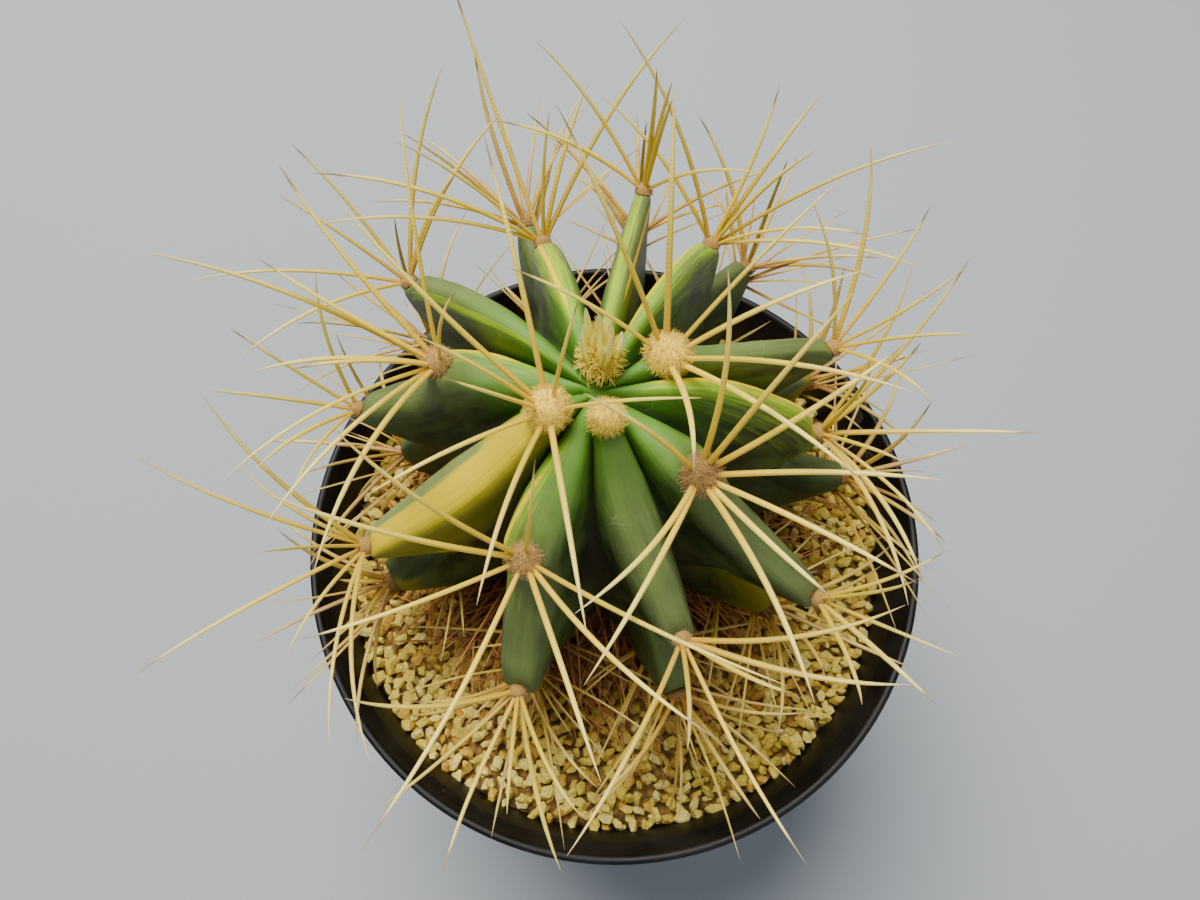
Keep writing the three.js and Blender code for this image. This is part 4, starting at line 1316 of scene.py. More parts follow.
def press_seats(points):
    """Flattens the stem under each areole, with a soft edge."""
    for _, _, t in all_tubercles():
        seat, normal = seat_of(t)
        away = points - seat
        height = away @ normal
        out = np.linalg.norm(away - height[:, None] * normal, axis=1)
        near = (out < t.pad + SEAT_EDGE) & (height > -SEAT_ROOM) & (height < SEAT_ROOM)
        allowed = -SEAT_SHARE * SEAT_DEPTH + SEAT_SLOPE * np.maximum(out - t.pad, 0)
        over = np.logaddexp((height - allowed) / SEAT_SOFTNESS, 0) * SEAT_SOFTNESS
        fade = np.clip((t.pad + SEAT_EDGE - out) / SEAT_FADE, 0, 1)
        points[near] -= (over * fade)[near, None] * normal
    return points


def streak_field(levels, sides, rib, tone):
    """How far inside a rib's streaks of one tone each point lies: 1 in the middle, 0 at the edge."""
    level, side = np.meshgrid(levels, sides, indexing="ij")
    field = np.full(level.shape, -1.0)
    for streak in rib.streaks:
        if streak.tone != tone:
            continue
        part = np.clip((level - streak.start) / (streak.end - streak.start), 0, 1)
        middle = evenly(streak.side_start, streak.side_end, part)
        across = 1 - np.abs(side - middle) / streak.width
        ends = np.minimum(level - streak.start, streak.end - level) / STREAK_END
        field = np.maximum(field, np.minimum(across, ends))
    return np.clip(field, -1, 1)


def stem_levels(count):
    """Levels of the fine rings, closer together at the tips of the tubercles."""
    even = np.linspace(0, 1, LEVEL_SAMPLES)
    weight = np.ones(LEVEL_SAMPLES)
    for level, reach, share in FINE_LEVELS:
        weight += share * np.exp(-(((even - level) / reach) ** 2))
    way = np.concatenate([[0], np.cumsum((weight[1:] + weight[:-1]) / 2)])
    return np.interp(np.linspace(0, way[-1], count), way, even)


def undulate(points, ways):
    """Moves points along their ways by the slight unevenness of grown skin."""
    lifts = np.array([
        sum(height * noise.noise(Vector(p) / width + Vector(start)) for width, height, start in SWELLS)
        for p in points
    ])
    return points + ways * lifts[:, None]


def make_stem(settings):
    """The closed skin of the stem, with its streaks and its own directions stored for the material."""
    levels = stem_levels(settings.rings)
    sides = 2 * np.arange(settings.rib_steps) / settings.rib_steps - 1
    grid = stem_grid(levels, sides)
    rings, _, steps, _ = grid.shape
    around = len(RIBS) * steps
    points = grid.reshape(-1, 3)
    outward = points - np.array([AXIS[0], AXIS[1], RIM_LEVEL + MIDDLE_UP])
    outward /= np.linalg.norm(outward, axis=1)[:, None]
    fades = np.clip((points[:, 2] - (RIM_LEVEL + FOOT_UP)) / SWELL_FADE, 0, 1)
    points = press_seats(undulate(points, outward * fades[:, None]))
    crown = stem_point(0.0, 0.0, CROWN_UP - CROWN_DIMPLE)
    root = stem_point(0.0, 0.0, ROOT_END - RIM_LEVEL)
    faces = ring_faces(rings, around)
    edge = (rings - 1) * around
    first, last = len(points), len(points) + 1
    for k in range(around):
        after = (k + 1) % around
        faces.append((first, k, after))
        faces.append((last, edge + after, edge + k))
    stem = mesh_piece("stem_skin", np.vstack([points, crown, root]), faces)
    face_outward(stem)
    for tone in FRAY:
        fields = np.stack([streak_field(levels, sides, rib, tone) for rib in RIBS], axis=1)
        store(stem, tone, np.append(fields.reshape(-1), [-1, -1]))
    shape = (rings, len(RIBS), steps)
    turns = np.arange(len(RIBS))[:, None] * 2 + sides
    for name, field, ends in (
        ("side", np.abs(sides), [0, 0]), ("level", levels[:, None, None], [0, 1]),
        ("around", turns, [0, 0]),
    ):
        store(stem, name, np.append(np.broadcast_to(field, shape).reshape(-1), ends))
    return stem


def cactus_skin(settings):
    """Waxy cactus skin: matt green with bloom and a painted highlight on the crests, streaks without green,
    olive streaks that are partly painted shade, painted shade in the creases and low on the stem, fine
    scratches.
    """
    material, tree = start_material("waxy_cactus_skin")
    place = add(tree, "ShaderNodeTexCoord", out="Object")
    side, level, around = (
        add(tree, "ShaderNodeAttribute", out="Fac", attribute_name=name)
        for name in ("side", "level", "around")
    )
    along = add(tree, "ShaderNodeCombineXYZ", {"X": around, "Y": level})
    streaky = add(tree, "ShaderNodeMapping", {"Vector": along, "Scale": (5.5, 7.0, 1.0)})
    lines = add(tree, "ShaderNodeTexNoise", {
        "Vector": streaky, "Scale": 1.0, "Detail": 4.0, "Roughness": 0.6,
    })
    drawn = add(tree, "ShaderNodeMapping", {"Vector": along, "Scale": (13.0, 6.0, 1.0)})
    threads = add(tree, "ShaderNodeTexNoise", {
        "Vector": drawn, "Scale": 1.0, "Detail": 3.0, "Roughness": 0.65,
    })
    blotch = add(tree, "ShaderNodeTexNoise", {"Vector": place, "Scale": per_mm(7), "Detail": 4.0})
    fine = add(tree, "ShaderNodeTexNoise", {"Vector": place, "Scale": per_mm(0.7), "Detail": 4.0})

    mixed = add(tree, "ShaderNodeMath", {0: lines, 1: blotch}, operation="ADD")
    greens = add(tree, "ShaderNodeMapRange", {"Value": mixed, "From Min": 0.84, "From Max": 1.16})
    green = add(tree, "ShaderNodeMix", {
        "Factor": greens, "A": tuple(settings.deep), "B": tuple(settings.green),
    }, data_type="RGBA")
    # Paler on the crests: partly waxy bloom, partly a painted highlight where the light falls on them.
    crest = add(tree, "ShaderNodeMapRange", {
        "Value": side, "From Min": 0.0, "From Max": 0.75, "To Min": 0.62, "To Max": 0.0,
    }, interpolation_type="SMOOTHSTEP")
    patchy = add(tree, "ShaderNodeMapRange", {
        "Value": threads, "From Min": 0.3, "From Max": 0.66, "To Min": 0.6,
    })
    bloom_and_highlight = add(tree, "ShaderNodeMath", {0: crest, 1: patchy}, operation="MULTIPLY")
    bloomed_and_highlit = add(tree, "ShaderNodeMix", {
        "Factor": bloom_and_highlight, "A": green, "B": tuple(settings.bloom),
    }, data_type="RGBA")
    crown = add(tree, "ShaderNodeMapRange", {
        "Value": level, "From Min": 0.04, "From Max": 0.3, "To Min": 0.75, "To Max": 0.0,
    }, interpolation_type="SMOOTHSTEP")
    skin = add(tree, "ShaderNodeMix", {
        "Factor": crown, "A": bloomed_and_highlit, "B": tuple(settings.young),
    }, data_type="RGBA")

    # The olive tone is partly olive skin and partly painted shade on the flanks of the yellow skin.
    tones = {
        "lime": tuple(settings.lime), "yellow": tuple(settings.yellow), "olive": colour("#8c861c"),
        "green": tuple(settings.bloom),
    }
    for tone, value in tones.items():
        field = add(tree, "ShaderNodeAttribute", out="Fac", attribute_name=tone)
        fray, soft = FRAY[tone]
        edge = fray / 2 + FRAY_INSET
        frayed = add(tree, "ShaderNodeMath", {0: threads, 1: fray, 2: field}, operation="MULTIPLY_ADD")
        inside = add(tree, "ShaderNodeMapRange", {
            "Value": frayed, "From Min": edge, "From Max": edge + soft,
        }, interpolation_type="SMOOTHSTEP")
        skin = add(tree, "ShaderNodeMix", {"Factor": inside, "A": skin, "B": value}, data_type="RGBA")

    # Painted shade: darker in the creases between the ribs, and darker low on the stem under the tubercles.
    shade = add(tree, "ShaderNodeMapRange", {
        "Value": side, "From Min": 0.86, "From Max": 1.0, "To Min": 1.0, "To Max": 0.3,
    }, interpolation_type="SMOOTHSTEP")
    depth = add(tree, "ShaderNodeMapRange", {
        "Value": level, "From Min": 0.46, "From Max": 0.75, "To Min": 1.0, "To Max": 0.7,
    })
    crease_and_low_shade = add(tree, "ShaderNodeMath", {0: shade, 1: depth}, operation="MULTIPLY")
    shaded = add(tree, "ShaderNodeVectorMath", {0: skin, "Scale": crease_and_low_shade}, operation="SCALE")
    cork = add(tree, "ShaderNodeMapRange", {"Value": level, "From Min": 0.8, "From Max": 0.9})
    foot = add(tree, "ShaderNodeMix", {
        "Factor": cork, "A": shaded, "B": colour("#7d6347"),
    }, data_type="RGBA")
    scuffs = add(tree, "ShaderNodeTexVoronoi", {
        "Vector": place, "Scale": per_mm(5),
    }, feature="DISTANCE_TO_EDGE")
    thin = add(tree, "ShaderNodeMapRange", {
        "Value": scuffs, "From Min": 0.0, "From Max": 0.012, "To Min": 1.0, "To Max": 0.0,
    })
    few = add(tree, "ShaderNodeMapRange", {
        "Value": blotch, "From Min": 0.6, "From Max": 0.68, "To Max": 0.3,
    })
    scratch = add(tree, "ShaderNodeMath", {0: thin, 1: few}, operation="MULTIPLY")
    base = add(tree, "ShaderNodeMix", {
        "Factor": scratch, "A": foot, "B": colour("#b9c3a0"),
    }, data_type="RGBA")
    rough = add(tree, "ShaderNodeMapRange", {"Value": blotch, "To Min": 0.42, "To Max": 0.66})
    relief = add(tree, "ShaderNodeMath", {0: lines, 1: 0.6, 2: fine}, operation="MULTIPLY_ADD")
    bump = add(tree, "ShaderNodeBump", {"Height": relief, "Strength": 0.4, "Distance": 0.14 * MM})
    end_material(tree, **{
        "Base Color": base, "Roughness": rough, "Normal": bump, "IOR": 1.42, "Subsurface Weight": 0.12,
        "Subsurface Radius": (0.9, 1.0, 0.4), "Subsurface Scale": 1.2 * MM, "Specular IOR Level": 0.34,
    })
    return material


class CACTUS_OT_stem(Operator):
    """Builds the ribbed stem with its long tubercles and variegated skin"""

    bl_idname = "cactus.stem"
    bl_label = "Build stem"

    def execute(self, context):
        settings = context.scene.cactus.stem
        dress(make_stem(settings), cactus_skin(settings), "stem", "stem")
        return {"FINISHED"}


# The spines' finish

SPINE_SEED = SEED + 5
GUIDE_POINTS = 15
TAPER = ((0.0, 0.8), (0.04, 1.0), (0.35, 0.94), (0.7, 0.7), (0.9, 0.36), (1.0, 0.04))
SIDE_BOW = 0.035
SECOND_CLEARANCE = 1.1
WIDTHS = (0.8, 1.15)
STRAIGHT = 1e-6
RING_PITCH = 0.55


def tube_tree():
    """Tapering tubes along guide lines, whose points say how thick they are."""
    tree, given = new_tree("Spines along guides", [
        ("Radius", "NodeSocketFloat", 0.5 * MM), ("Flatness", "NodeSocketFloat", 0.7),
        ("Sides", "NodeSocketInt", 8), ("Material", "NodeSocketMaterial", None),
    ])
    curves = add(tree, "GeometryNodeMeshToCurve", {"Mesh": given["Geometry"]})
    circle = add(tree, "GeometryNodeCurvePrimitiveCircle", {
        "Resolution": given["Sides"], "Radius": given["Radius"],
    })
    scale = add(tree, "ShaderNodeCombineXYZ", {"X": 1.0, "Y": given["Flatness"], "Z": 1.0})
    oval = add(tree, "GeometryNodeTransform", {"Geometry": circle, "Scale": scale})
    thick = add(tree, "GeometryNodeInputNamedAttribute", {"Name": "thickness"}, data_type="FLOAT")
    tubes = add(tree, "GeometryNodeCurveToMesh", {
        "Curve": curves, "Profile Curve": oval, "Scale": thick, "Fill Caps": True,
    })
    flat = add(tree, "GeometryNodeSetShadeSmooth", {"Geometry": tubes, "Shade Smooth": False})
    close_tree(tree, flat, given["Material"])
    return tree


def guides(lines, age, draw, spread=WIDTHS):
    """A piece of bare edges along the spines, with what their material and thickness need."""
    parts = np.linspace(0, 1, GUIDE_POINTS)
    points, edges, reach = [], [], []
    for k, line in enumerate(lines):
        length = np.linalg.norm(line[2] - line[0])
        sideways = np.cross(line[2] - line[0], line[1] - line[0])
        sideways /= max(np.linalg.norm(sideways), STRAIGHT)
        bow = SIDE_BOW * length * (2 * draw() - 1)
        points.append(points_on(line, GUIDE_POINTS) + np.outer(np.sin(parts * math.pi) * bow, sideways))
        edges += [(m, m + 1) for m in range(k * GUIDE_POINTS, (k + 1) * GUIDE_POINTS - 1)]
        reach.append(parts * length)
    tones = [draw() for _ in lines]
    widths = [evenly(*spread, draw()) for _ in lines]
    piece = mesh_piece("guides", np.vstack(points), [], edges)
    taper = np.interp(parts, *zip(*TAPER))
    store(piece, "thickness", np.concatenate([taper * width for width in widths]))
    store(piece, "along", np.tile(parts, len(lines)))
    store(piece, "reach", np.concatenate(reach))
    store(piece, "age", np.full(len(lines) * GUIDE_POINTS, age))
    store(piece, "tone", np.repeat(tones, GUIDE_POINTS))
    return piece


def horn(settings):
    """Spine horn: smooth and a little translucent, amber at the root, straw, then ivory to the tip."""
    material, tree = start_material("spine_horn_straw")
    along, reach, tone, age = (
        add(tree, "ShaderNodeAttribute", out="Fac", attribute_name=name)
        for name in ("along", "reach", "tone", "age")
    )
    place = add(tree, "ShaderNodeTexCoord", out="Object")
    shaft = add(tree, "ShaderNodeValToRGB", {"Fac": along}, stops=[
        (0.0, tuple(settings.root)), (0.12, colour("#d8b830")), (0.4, tuple(settings.straw)),
        (0.75, tuple(settings.ivory)), (1.0, colour("#d8c078")),
    ])
    worn = add(tree, "ShaderNodeValToRGB", {"Fac": along}, stops=[
        (0.0, colour("#986024")), (0.3, colour("#b08c3c")), (0.8, colour("#c4aa58")),
        (1.0, colour("#8a7454")),
    ])
    blotch = add(tree, "ShaderNodeTexNoise", {"Vector": place, "Scale": per_mm(4), "Detail": 2.0})
    old = add(tree, "ShaderNodeMath", {0: age, 1: blotch}, operation="MULTIPLY")
    oldness = add(tree, "ShaderNodeMapRange", {"Value": old, "From Min": 0.05, "From Max": 0.6})
    aged = add(tree, "ShaderNodeMix", {"Factor": oldness, "A": shaft, "B": worn}, data_type="RGBA")
    lit = add(tree, "ShaderNodeMapRange", {"Value": tone, "To Min": 0.86, "To Max": 1.12})
    shaded = add(tree, "ShaderNodeVectorMath", {0: aged, "Scale": lit}, operation="SCALE")
    banded = add(tree, "ShaderNodeMapRange", {
        "Value": along, "From Min": 0.82, "From Max": 0.9, "To Max": 0.8,
    }, interpolation_type="SMOOTHSTEP")
    some = add(tree, "ShaderNodeMapRange", {"Value": tone, "From Min": 0.7, "From Max": 0.74})
    band = add(tree, "ShaderNodeMath", {0: banded, 1: some}, operation="MULTIPLY")
    base = add(tree, "ShaderNodeMix", {
        "Factor": band, "A": shaded, "B": colour("#74624a"),
    }, data_type="RGBA")
    rings = add(tree, "ShaderNodeMath", {0: reach, 1: math.tau / RING_PITCH}, operation="MULTIPLY")
    wave = add(tree, "ShaderNodeMath", {0: rings}, operation="SINE")
    bump = add(tree, "ShaderNodeBump", {"Height": wave, "Strength": 0.12, "Distance": 0.05 * MM})
    end_material(tree, **{
        "Base Color": base, "Roughness": 0.42, "Normal": bump, "IOR": 1.54, "Specular IOR Level": 0.36,
        "Subsurface Weight": 0.15, "Subsurface Radius": (1.0, 0.7, 0.3), "Subsurface Scale": 0.5 * MM,
    })
    return material


BRUSH_COUNT = 15
BRUSH_SPREAD = 0.4
BRUSH_LENGTHS = (4.6, 8.2)
BRUSH_LEANS = (0.08, 0.3)
BRUSH_BOW = 0.08
BRUSH_LIFT = 0.2
BRUSH_WIDTH = 2.0
BRUSH_FLATNESS = 0.3

# Every third spine of the brush stands in its middle: its share of the pad's radius and of the lean
INNER_BRUSH = (0.3, 0.4)
OUTER_BRUSH = (0.62, 1.0)


def brush_lines(t, draw):
    """Short flat spines that just stand up out of the newest wool."""
    seat, normal, side, over = seat_frame(t)
    lines = []
    for k in range(BRUSH_COUNT):
        out, upright = INNER_BRUSH if k % 3 == 0 else OUTER_BRUSH
        turn = math.tau * (k + BRUSH_SPREAD * draw()) / BRUSH_COUNT
        way = side * math.cos(turn) + over * math.sin(turn)
        length = evenly(*BRUSH_LENGTHS, draw())
        lean = evenly(*BRUSH_LEANS, draw()) * upright
        root = seat + way * (t.pad * out) + normal * BRUSH_LIFT
        tip = root + (normal + way * lean) * length
        lines.append(np.array([root, (root + tip) / 2 + way * BRUSH_BOW * length, tip]))
    return lines


def new_horn():
    """Spines of this season: soft, matt, pale yellow-green horn."""
    material, tree = start_material("spine_horn_new")
    along = add(tree, "ShaderNodeAttribute", out="Fac", attribute_name="along")
    base = add(tree, "ShaderNodeValToRGB", {"Fac": along}, stops=[
        (0.0, colour("#e8d050")), (0.35, colour("#f0e860")), (0.75, colour("#f8f290")),
        (1.0, colour("#fbf6c0")),
    ])
    reach = add(tree, "ShaderNodeAttribute", out="Fac", attribute_name="reach")
    wave = add(tree, "ShaderNodeTexNoise", {"W": reach, "Scale": per_mm(0.6)}, noise_dimensions="1D")
    bump = add(tree, "ShaderNodeBump", {"Height": wave, "Strength": 0.2, "Distance": 0.05 * MM})
    end_material(tree, **{
        "Base Color": base, "Roughness": 0.5, "Normal": bump, "IOR": 1.5, "Subsurface Weight": 0.2,
        "Subsurface Radius": (1.0, 0.8, 0.3), "Subsurface Scale": 0.5 * MM,
    })
    return material


class CACTUS_OT_spines(Operator):
    """Builds the spines of every areole, ring by ring, and the brush of the newest ones"""

    bl_idname = "cactus.spines"
    bl_label = "Build spines"

    def execute(self, context):
        settings = context.scene.cactus.spines
        grown = grow_spines()
        tree = tube_tree()
        material = horn(settings)
        draw = make_random(SPINE_SEED)
        for ring, age in AGES.items():
            nodes = [name for name, r, _ in all_tubercles() if r == ring and grown[name] and name != BRUSH]
            lines = [line for node in nodes for line in grown[node]]
            spines = grown_from(f"spines_{ring}", guides(lines, age, draw), tree, {
                "Radius": settings.radius, "Flatness": settings.flatness, "Sides": settings.sides,
                "Material": material,
            })
            dress(spines, material, "spines", *nodes)
        newest = next(t for name, _, t in all_tubercles() if name == BRUSH)
        soft_horn = new_horn()
        brush = grown_from("spines_newest", guides(brush_lines(newest, draw), 0.0, draw), tree, {
            "Radius": settings.radius * BRUSH_WIDTH, "Flatness": BRUSH_FLATNESS, "Sides": settings.sides,
            "Material": soft_horn,
        })
        dress(brush, soft_horn, "spines", BRUSH)
        return {"FINISHED"}


# The old dry spines at the foot

LITTER_COUNT = 620
LITTER_SEED = SEED + 77
LITTER_BENDS = (0.6, 3.2)
WALL_ROOM = 0.8

# Every third dead spine is loose and the rest are rooted: how far out it starts, its turn and its height
LOOSE_LITTER = ((19, 36), 3.0, (0.8, 3.0))
ROOTED_LITTER = ((13, 22), 1.3, (2.0, 7.5))

# Every seventh dead spine is long: its length, and the height of its tip
LONG_LITTER = ((20, 31), (3, 10))
SHORT_LITTER = ((10, 23), (0.6, 2.6))

FLANK_LEVELS = (0.74, 0.79)
FLANK_COUNT = 9
FLANK_SEED = SEED + 55
FLANK_SPREAD = 85
FLANK_SLOPES = (-0.35, 0.5)
FLANK_LENGTHS = (13, 28)
FLANK_BENDS = (0.5, 3.5)
ROOM_CHECKS = 12
DRY_SEED = SEED + 9
DRY_SIDES = 5
DRY_WIDTHS = (0.38, 0.6)
FLANK_WIDTHS = (0.55, 0.85)


def litter_lines():
    """Old spines round the foot of the stem: some still spread from it, and some lie on the grit."""
    draw = make_random(LITTER_SEED)
    widest = inner_radius(GRAVEL_LEVEL) - WALL_ROOM
    lines = []
    for k in range(LITTER_COUNT):
        outs, spread, heights = LOOSE_LITTER if k % 3 == 0 else ROOTED_LITTER
        lengths, tip_heights = LONG_LITTER if k % 7 == 1 else SHORT_LITTER
        turn = math.tau * draw()
        out = evenly(*outs, draw())
        heading = turn + (draw() - 0.5) * spread
        length = evenly(*lengths, draw())
        start = GRAVEL_LEVEL + evenly(*heights, draw())
        root = np.array([AXIS[0] + out * math.cos(turn), AXIS[1] + out * math.sin(turn), start])
        tip = root + np.array([math.cos(heading), math.sin(heading), 0]) * length
        tip[2] = GRAVEL_LEVEL + evenly(*tip_heights, draw())
        bend = (root + tip) / 2 + np.array([0, 0, evenly(*LITTER_BENDS, draw())])
        if math.hypot(*tip[:2]) < widest and math.hypot(*root[:2]) < widest:
            lines.append(np.array([root, bend, tip]))
    return lines


def stays_in_pot(line):
    """True where a line keeps clear of the wall or passes over the rim."""
    points = points_on(line, ROOM_CHECKS)
    out = np.hypot(points[:, 0], points[:, 1])
    inside = out < inner_radius(points[:, 2]) - WALL_ROOM
    over_rim = points[:, 2] > RIM_LEVEL + WALL_ROOM
    return bool(np.all((inside | over_rim) & (points[:, 2] > GRAVEL_LEVEL)))


def flank_lines():
    """Dead clusters low on the ribs, whose spines reach out over the wall of the pot."""
    draw = make_random(FLANK_SEED)
    lines = []
    for rib in RIBS:
        for level in FLANK_LEVELS:
            out, up = curve_at(crest_knots(rib), np.array([level]))[0]
            root = stem_point(rib.low.bearing, out, up)
            for _ in range(FLANK_COUNT):
                heading = math.radians(rib.low.bearing + FLANK_SPREAD * (2 * draw() - 1))
                way = np.array([math.cos(heading), math.sin(heading), evenly(*FLANK_SLOPES, draw())])
                tip = root + way * evenly(*FLANK_LENGTHS, draw())
                bend = (root + tip) / 2 + np.array([0, 0, evenly(*FLANK_BENDS, draw())])
                line = np.array([root, bend, tip])
                if stays_in_pot(line):
                    lines.append(line)
    return lines


def dry_horn(settings):
    """Old dead spines: dry red-brown horn without gloss."""
    material, tree = start_material("dry_spine_weathered")
    place = add(tree, "ShaderNodeTexCoord", out="Object")
    tone = add(tree, "ShaderNodeAttribute", out="Fac", attribute_name="tone")
    mottle = add(tree, "ShaderNodeTexNoise", {"Vector": place, "Scale": per_mm(2), "Detail": 3.0})
    mixed = add(tree, "ShaderNodeMath", {0: tone, 1: mottle}, operation="MULTIPLY")
    base = add(tree, "ShaderNodeValToRGB", {"Fac": mixed}, stops=[
        (0.0, colour("#6a3818")), (0.2, tuple(settings.dry)), (0.6, colour("#cf9648")),
    ])
    bump = add(tree, "ShaderNodeBump", {"Height": mottle, "Strength": 0.4, "Distance": 0.05 * MM})
    end_material(tree, **{"Base Color": base, "Roughness": 0.7, "Normal": bump})
    return material


class CACTUS_OT_litter(Operator):
    """Builds the dry spines round the foot of the stem and the old clusters low on its ribs"""

    bl_idname = "cactus.litter"
    bl_label = "Build dry spines"

    def execute(self, context):
        settings = context.scene.cactus.spines
        draw = make_random(DRY_SEED)
        for name, lines, material, widths in (
            ("dry_spines", litter_lines(), dry_horn(settings), DRY_WIDTHS),
            ("flank_spines", flank_lines(), horn(settings), FLANK_WIDTHS),
        ):
            piece = grown_from(name, guides(lines, 1.0, draw, widths), tube_tree(), {
                "Radius": settings.radius, "Flatness": settings.flatness, "Sides": DRY_SIDES,
                "Material": material,
            })
            dress(piece, material, "spines")
        return {"FINISHED"}


# The wool

PAD_STEPS = 10
PAD_SIDES = 22
PAD_FOOT = 0.72
PAD_ROUND = 0.6
PAD_TONE = 0.35
FULL_LUMPS = 1.6

# The lumps of a pad: their width and their height
LUMPS = ((0.9, 0.22), (0.35, 0.1))

# Each areole's wool: its age, its share of the hairs' length, its height in mm, its share of the pad
WOOL = {
    "young": {
        "areole_k_young": (0.0, 1.0, 2.1, 0.94), "areole_i_young": (0.02, 2.2, 1.6, 0.72),
        "areole_f_young": (0.62, 0.9, 1.4, 0.96), "areole_e_young": (0.0, 1.0, 2.1, 0.9),
        "areole_d_young": (0.68, 0.9, 1.4, 0.96), "areole_c_young": (0.0, 1.0, 1.8, 0.9),
        "areole_b_young": (0.88, 0.95, 1.6, 1.0),
    },
    "outer": (0.7, 0.5, 0.8, 0.78),
    "low": (1.0, 0.5, 0.7, 0.85),
}


def wool_of(name, ring):
    """An areole's wool, which each young areole has of its own."""
    return WOOL[ring][name] if ring == "young" else WOOL[ring]


def pad_points(t, rise, width):
    """The dome of a wool pad, from its edge in the seat to its top."""
    seat, normal, side, over = seat_frame(t)
    foot = -PAD_FOOT * SEAT_DEPTH
    points = []
    for row in range(PAD_STEPS):
        lift = math.pi / 2 * row / PAD_STEPS
        for k in range(PAD_SIDES):
            turn = math.tau * k / PAD_SIDES
            out = t.pad * width * math.cos(lift) ** PAD_ROUND
            up = foot + (rise - foot) * math.sin(lift)
            points.append(seat + (side * math.cos(turn) + over * math.sin(turn)) * out + normal * up)
    points.append(seat + normal * rise)
    points.append(seat + normal * foot)
    lumpy = []
    for p in points:
        lump = sum(height * noise.noise(Vector(p) / size) for size, height in LUMPS)
        lumpy.append(p + normal * lump * min(rise, FULL_LUMPS))
    return np.array(lumpy)


def pad_faces(start):
    """The faces of one pad whose points begin at a number."""
    faces = []
    for row in range(PAD_STEPS - 1):
        for k in range(PAD_SIDES):
            a, b = start + row * PAD_SIDES + k, start + row * PAD_SIDES + (k + 1) % PAD_SIDES
            faces.append((a, b, b + PAD_SIDES, a + PAD_SIDES))
    top = start + PAD_STEPS * PAD_SIDES
    last = start + (PAD_STEPS - 1) * PAD_SIDES
    for k in range(PAD_SIDES):
        after = (k + 1) % PAD_SIDES
        faces.append((last + k, last + after, top))
        faces.append((start + after, start + k, top + 1))
    return faces


def wool_tree():
    """Curled hairs over pads, kept with the pads themselves."""
    tree, given = new_tree("Wool on pads", [
        ("Density", "NodeSocketFloat", 20e6), ("Length", "NodeSocketFloat", 1.4 * MM),
        ("Hair radius", "NodeSocketFloat", 0.05 * MM), ("Seed", "NodeSocketInt", 0),
        ("Material", "NodeSocketMaterial", None),
    ])
    spots = add(tree, "GeometryNodeDistributePointsOnFaces", {
        "Mesh": given["Geometry"], "Density": given["Density"], "Seed": given["Seed"],
    }, out="Points")
    strand = add(tree, "GeometryNodeCurveQuadraticBezier", {
        "Resolution": 4, "Start": (0.0, 0.0, -0.1), "Middle": (0.45, 0.1, 0.55), "End": (-0.05, 0.3, 1.0),
    })
    tip = add(tree, "GeometryNodeSplineParameter", out="Factor")
    marked = add(tree, "GeometryNodeStoreNamedAttribute", {
        "Geometry": strand, "Name": "tip", "Value": tip,
    }, data_type="FLOAT", domain="POINT")
    taper = add(tree, "ShaderNodeMapRange", {"Value": tip, "To Min": 1.0, "To Max": 0.25})
    thick = add(tree, "ShaderNodeMath", {0: given["Hair radius"], 1: given["Length"]}, operation="DIVIDE")
    circle = add(tree, "GeometryNodeCurvePrimitiveCircle", {"Resolution": 3, "Radius": thick})
    hair = add(tree, "GeometryNodeCurveToMesh", {
        "Curve": marked, "Profile Curve": circle, "Scale": taper, "Fill Caps": True,
    })
    tilt = add(tree, "FunctionNodeRandomValue", {
        "Min": (-0.8, -0.8, 0.0), "Max": (0.8, 0.8, math.tau), "Seed": 4,
    }, data_type="FLOAT_VECTOR")
    turn = add(tree, "FunctionNodeEulerToRotation", {"Euler": tilt})
    way = add(tree, "FunctionNodeRotateRotation", {
        "Rotation": spots.node.outputs["Rotation"], "Rotate By": turn,
    }, rotation_space="LOCAL")
    least = add(tree, "ShaderNodeMath", {0: given["Length"], 1: 0.5}, operation="MULTIPLY")
    any_size = add(tree, "FunctionNodeRandomValue", {
        "Min": least, "Max": given["Length"], "Seed": 5,
    }, out=1, data_type="FLOAT")
    share = add(tree, "GeometryNodeInputNamedAttribute", {"Name": "hair"}, data_type="FLOAT")
    size = add(tree, "ShaderNodeMath", {0: any_size, 1: share}, operation="MULTIPLY")
    hairs = add(tree, "GeometryNodeInstanceOnPoints", {
        "Points": spots, "Instance": hair, "Rotation": way, "Scale": size,
    })
    tone = add(tree, "FunctionNodeRandomValue", {"Seed": 6}, out=1, data_type="FLOAT")
    toned = add(tree, "GeometryNodeStoreNamedAttribute", {
        "Geometry": hairs, "Name": "tone", "Value": tone,
    }, data_type="FLOAT", domain="INSTANCE")
    both = tree.nodes.new("GeometryNodeJoinGeometry")
    tree.links.new(toned, both.inputs[0])
    tree.links.new(given["Geometry"], both.inputs[0])
    close_tree(tree, both.outputs[0], given["Material"])
    return tree


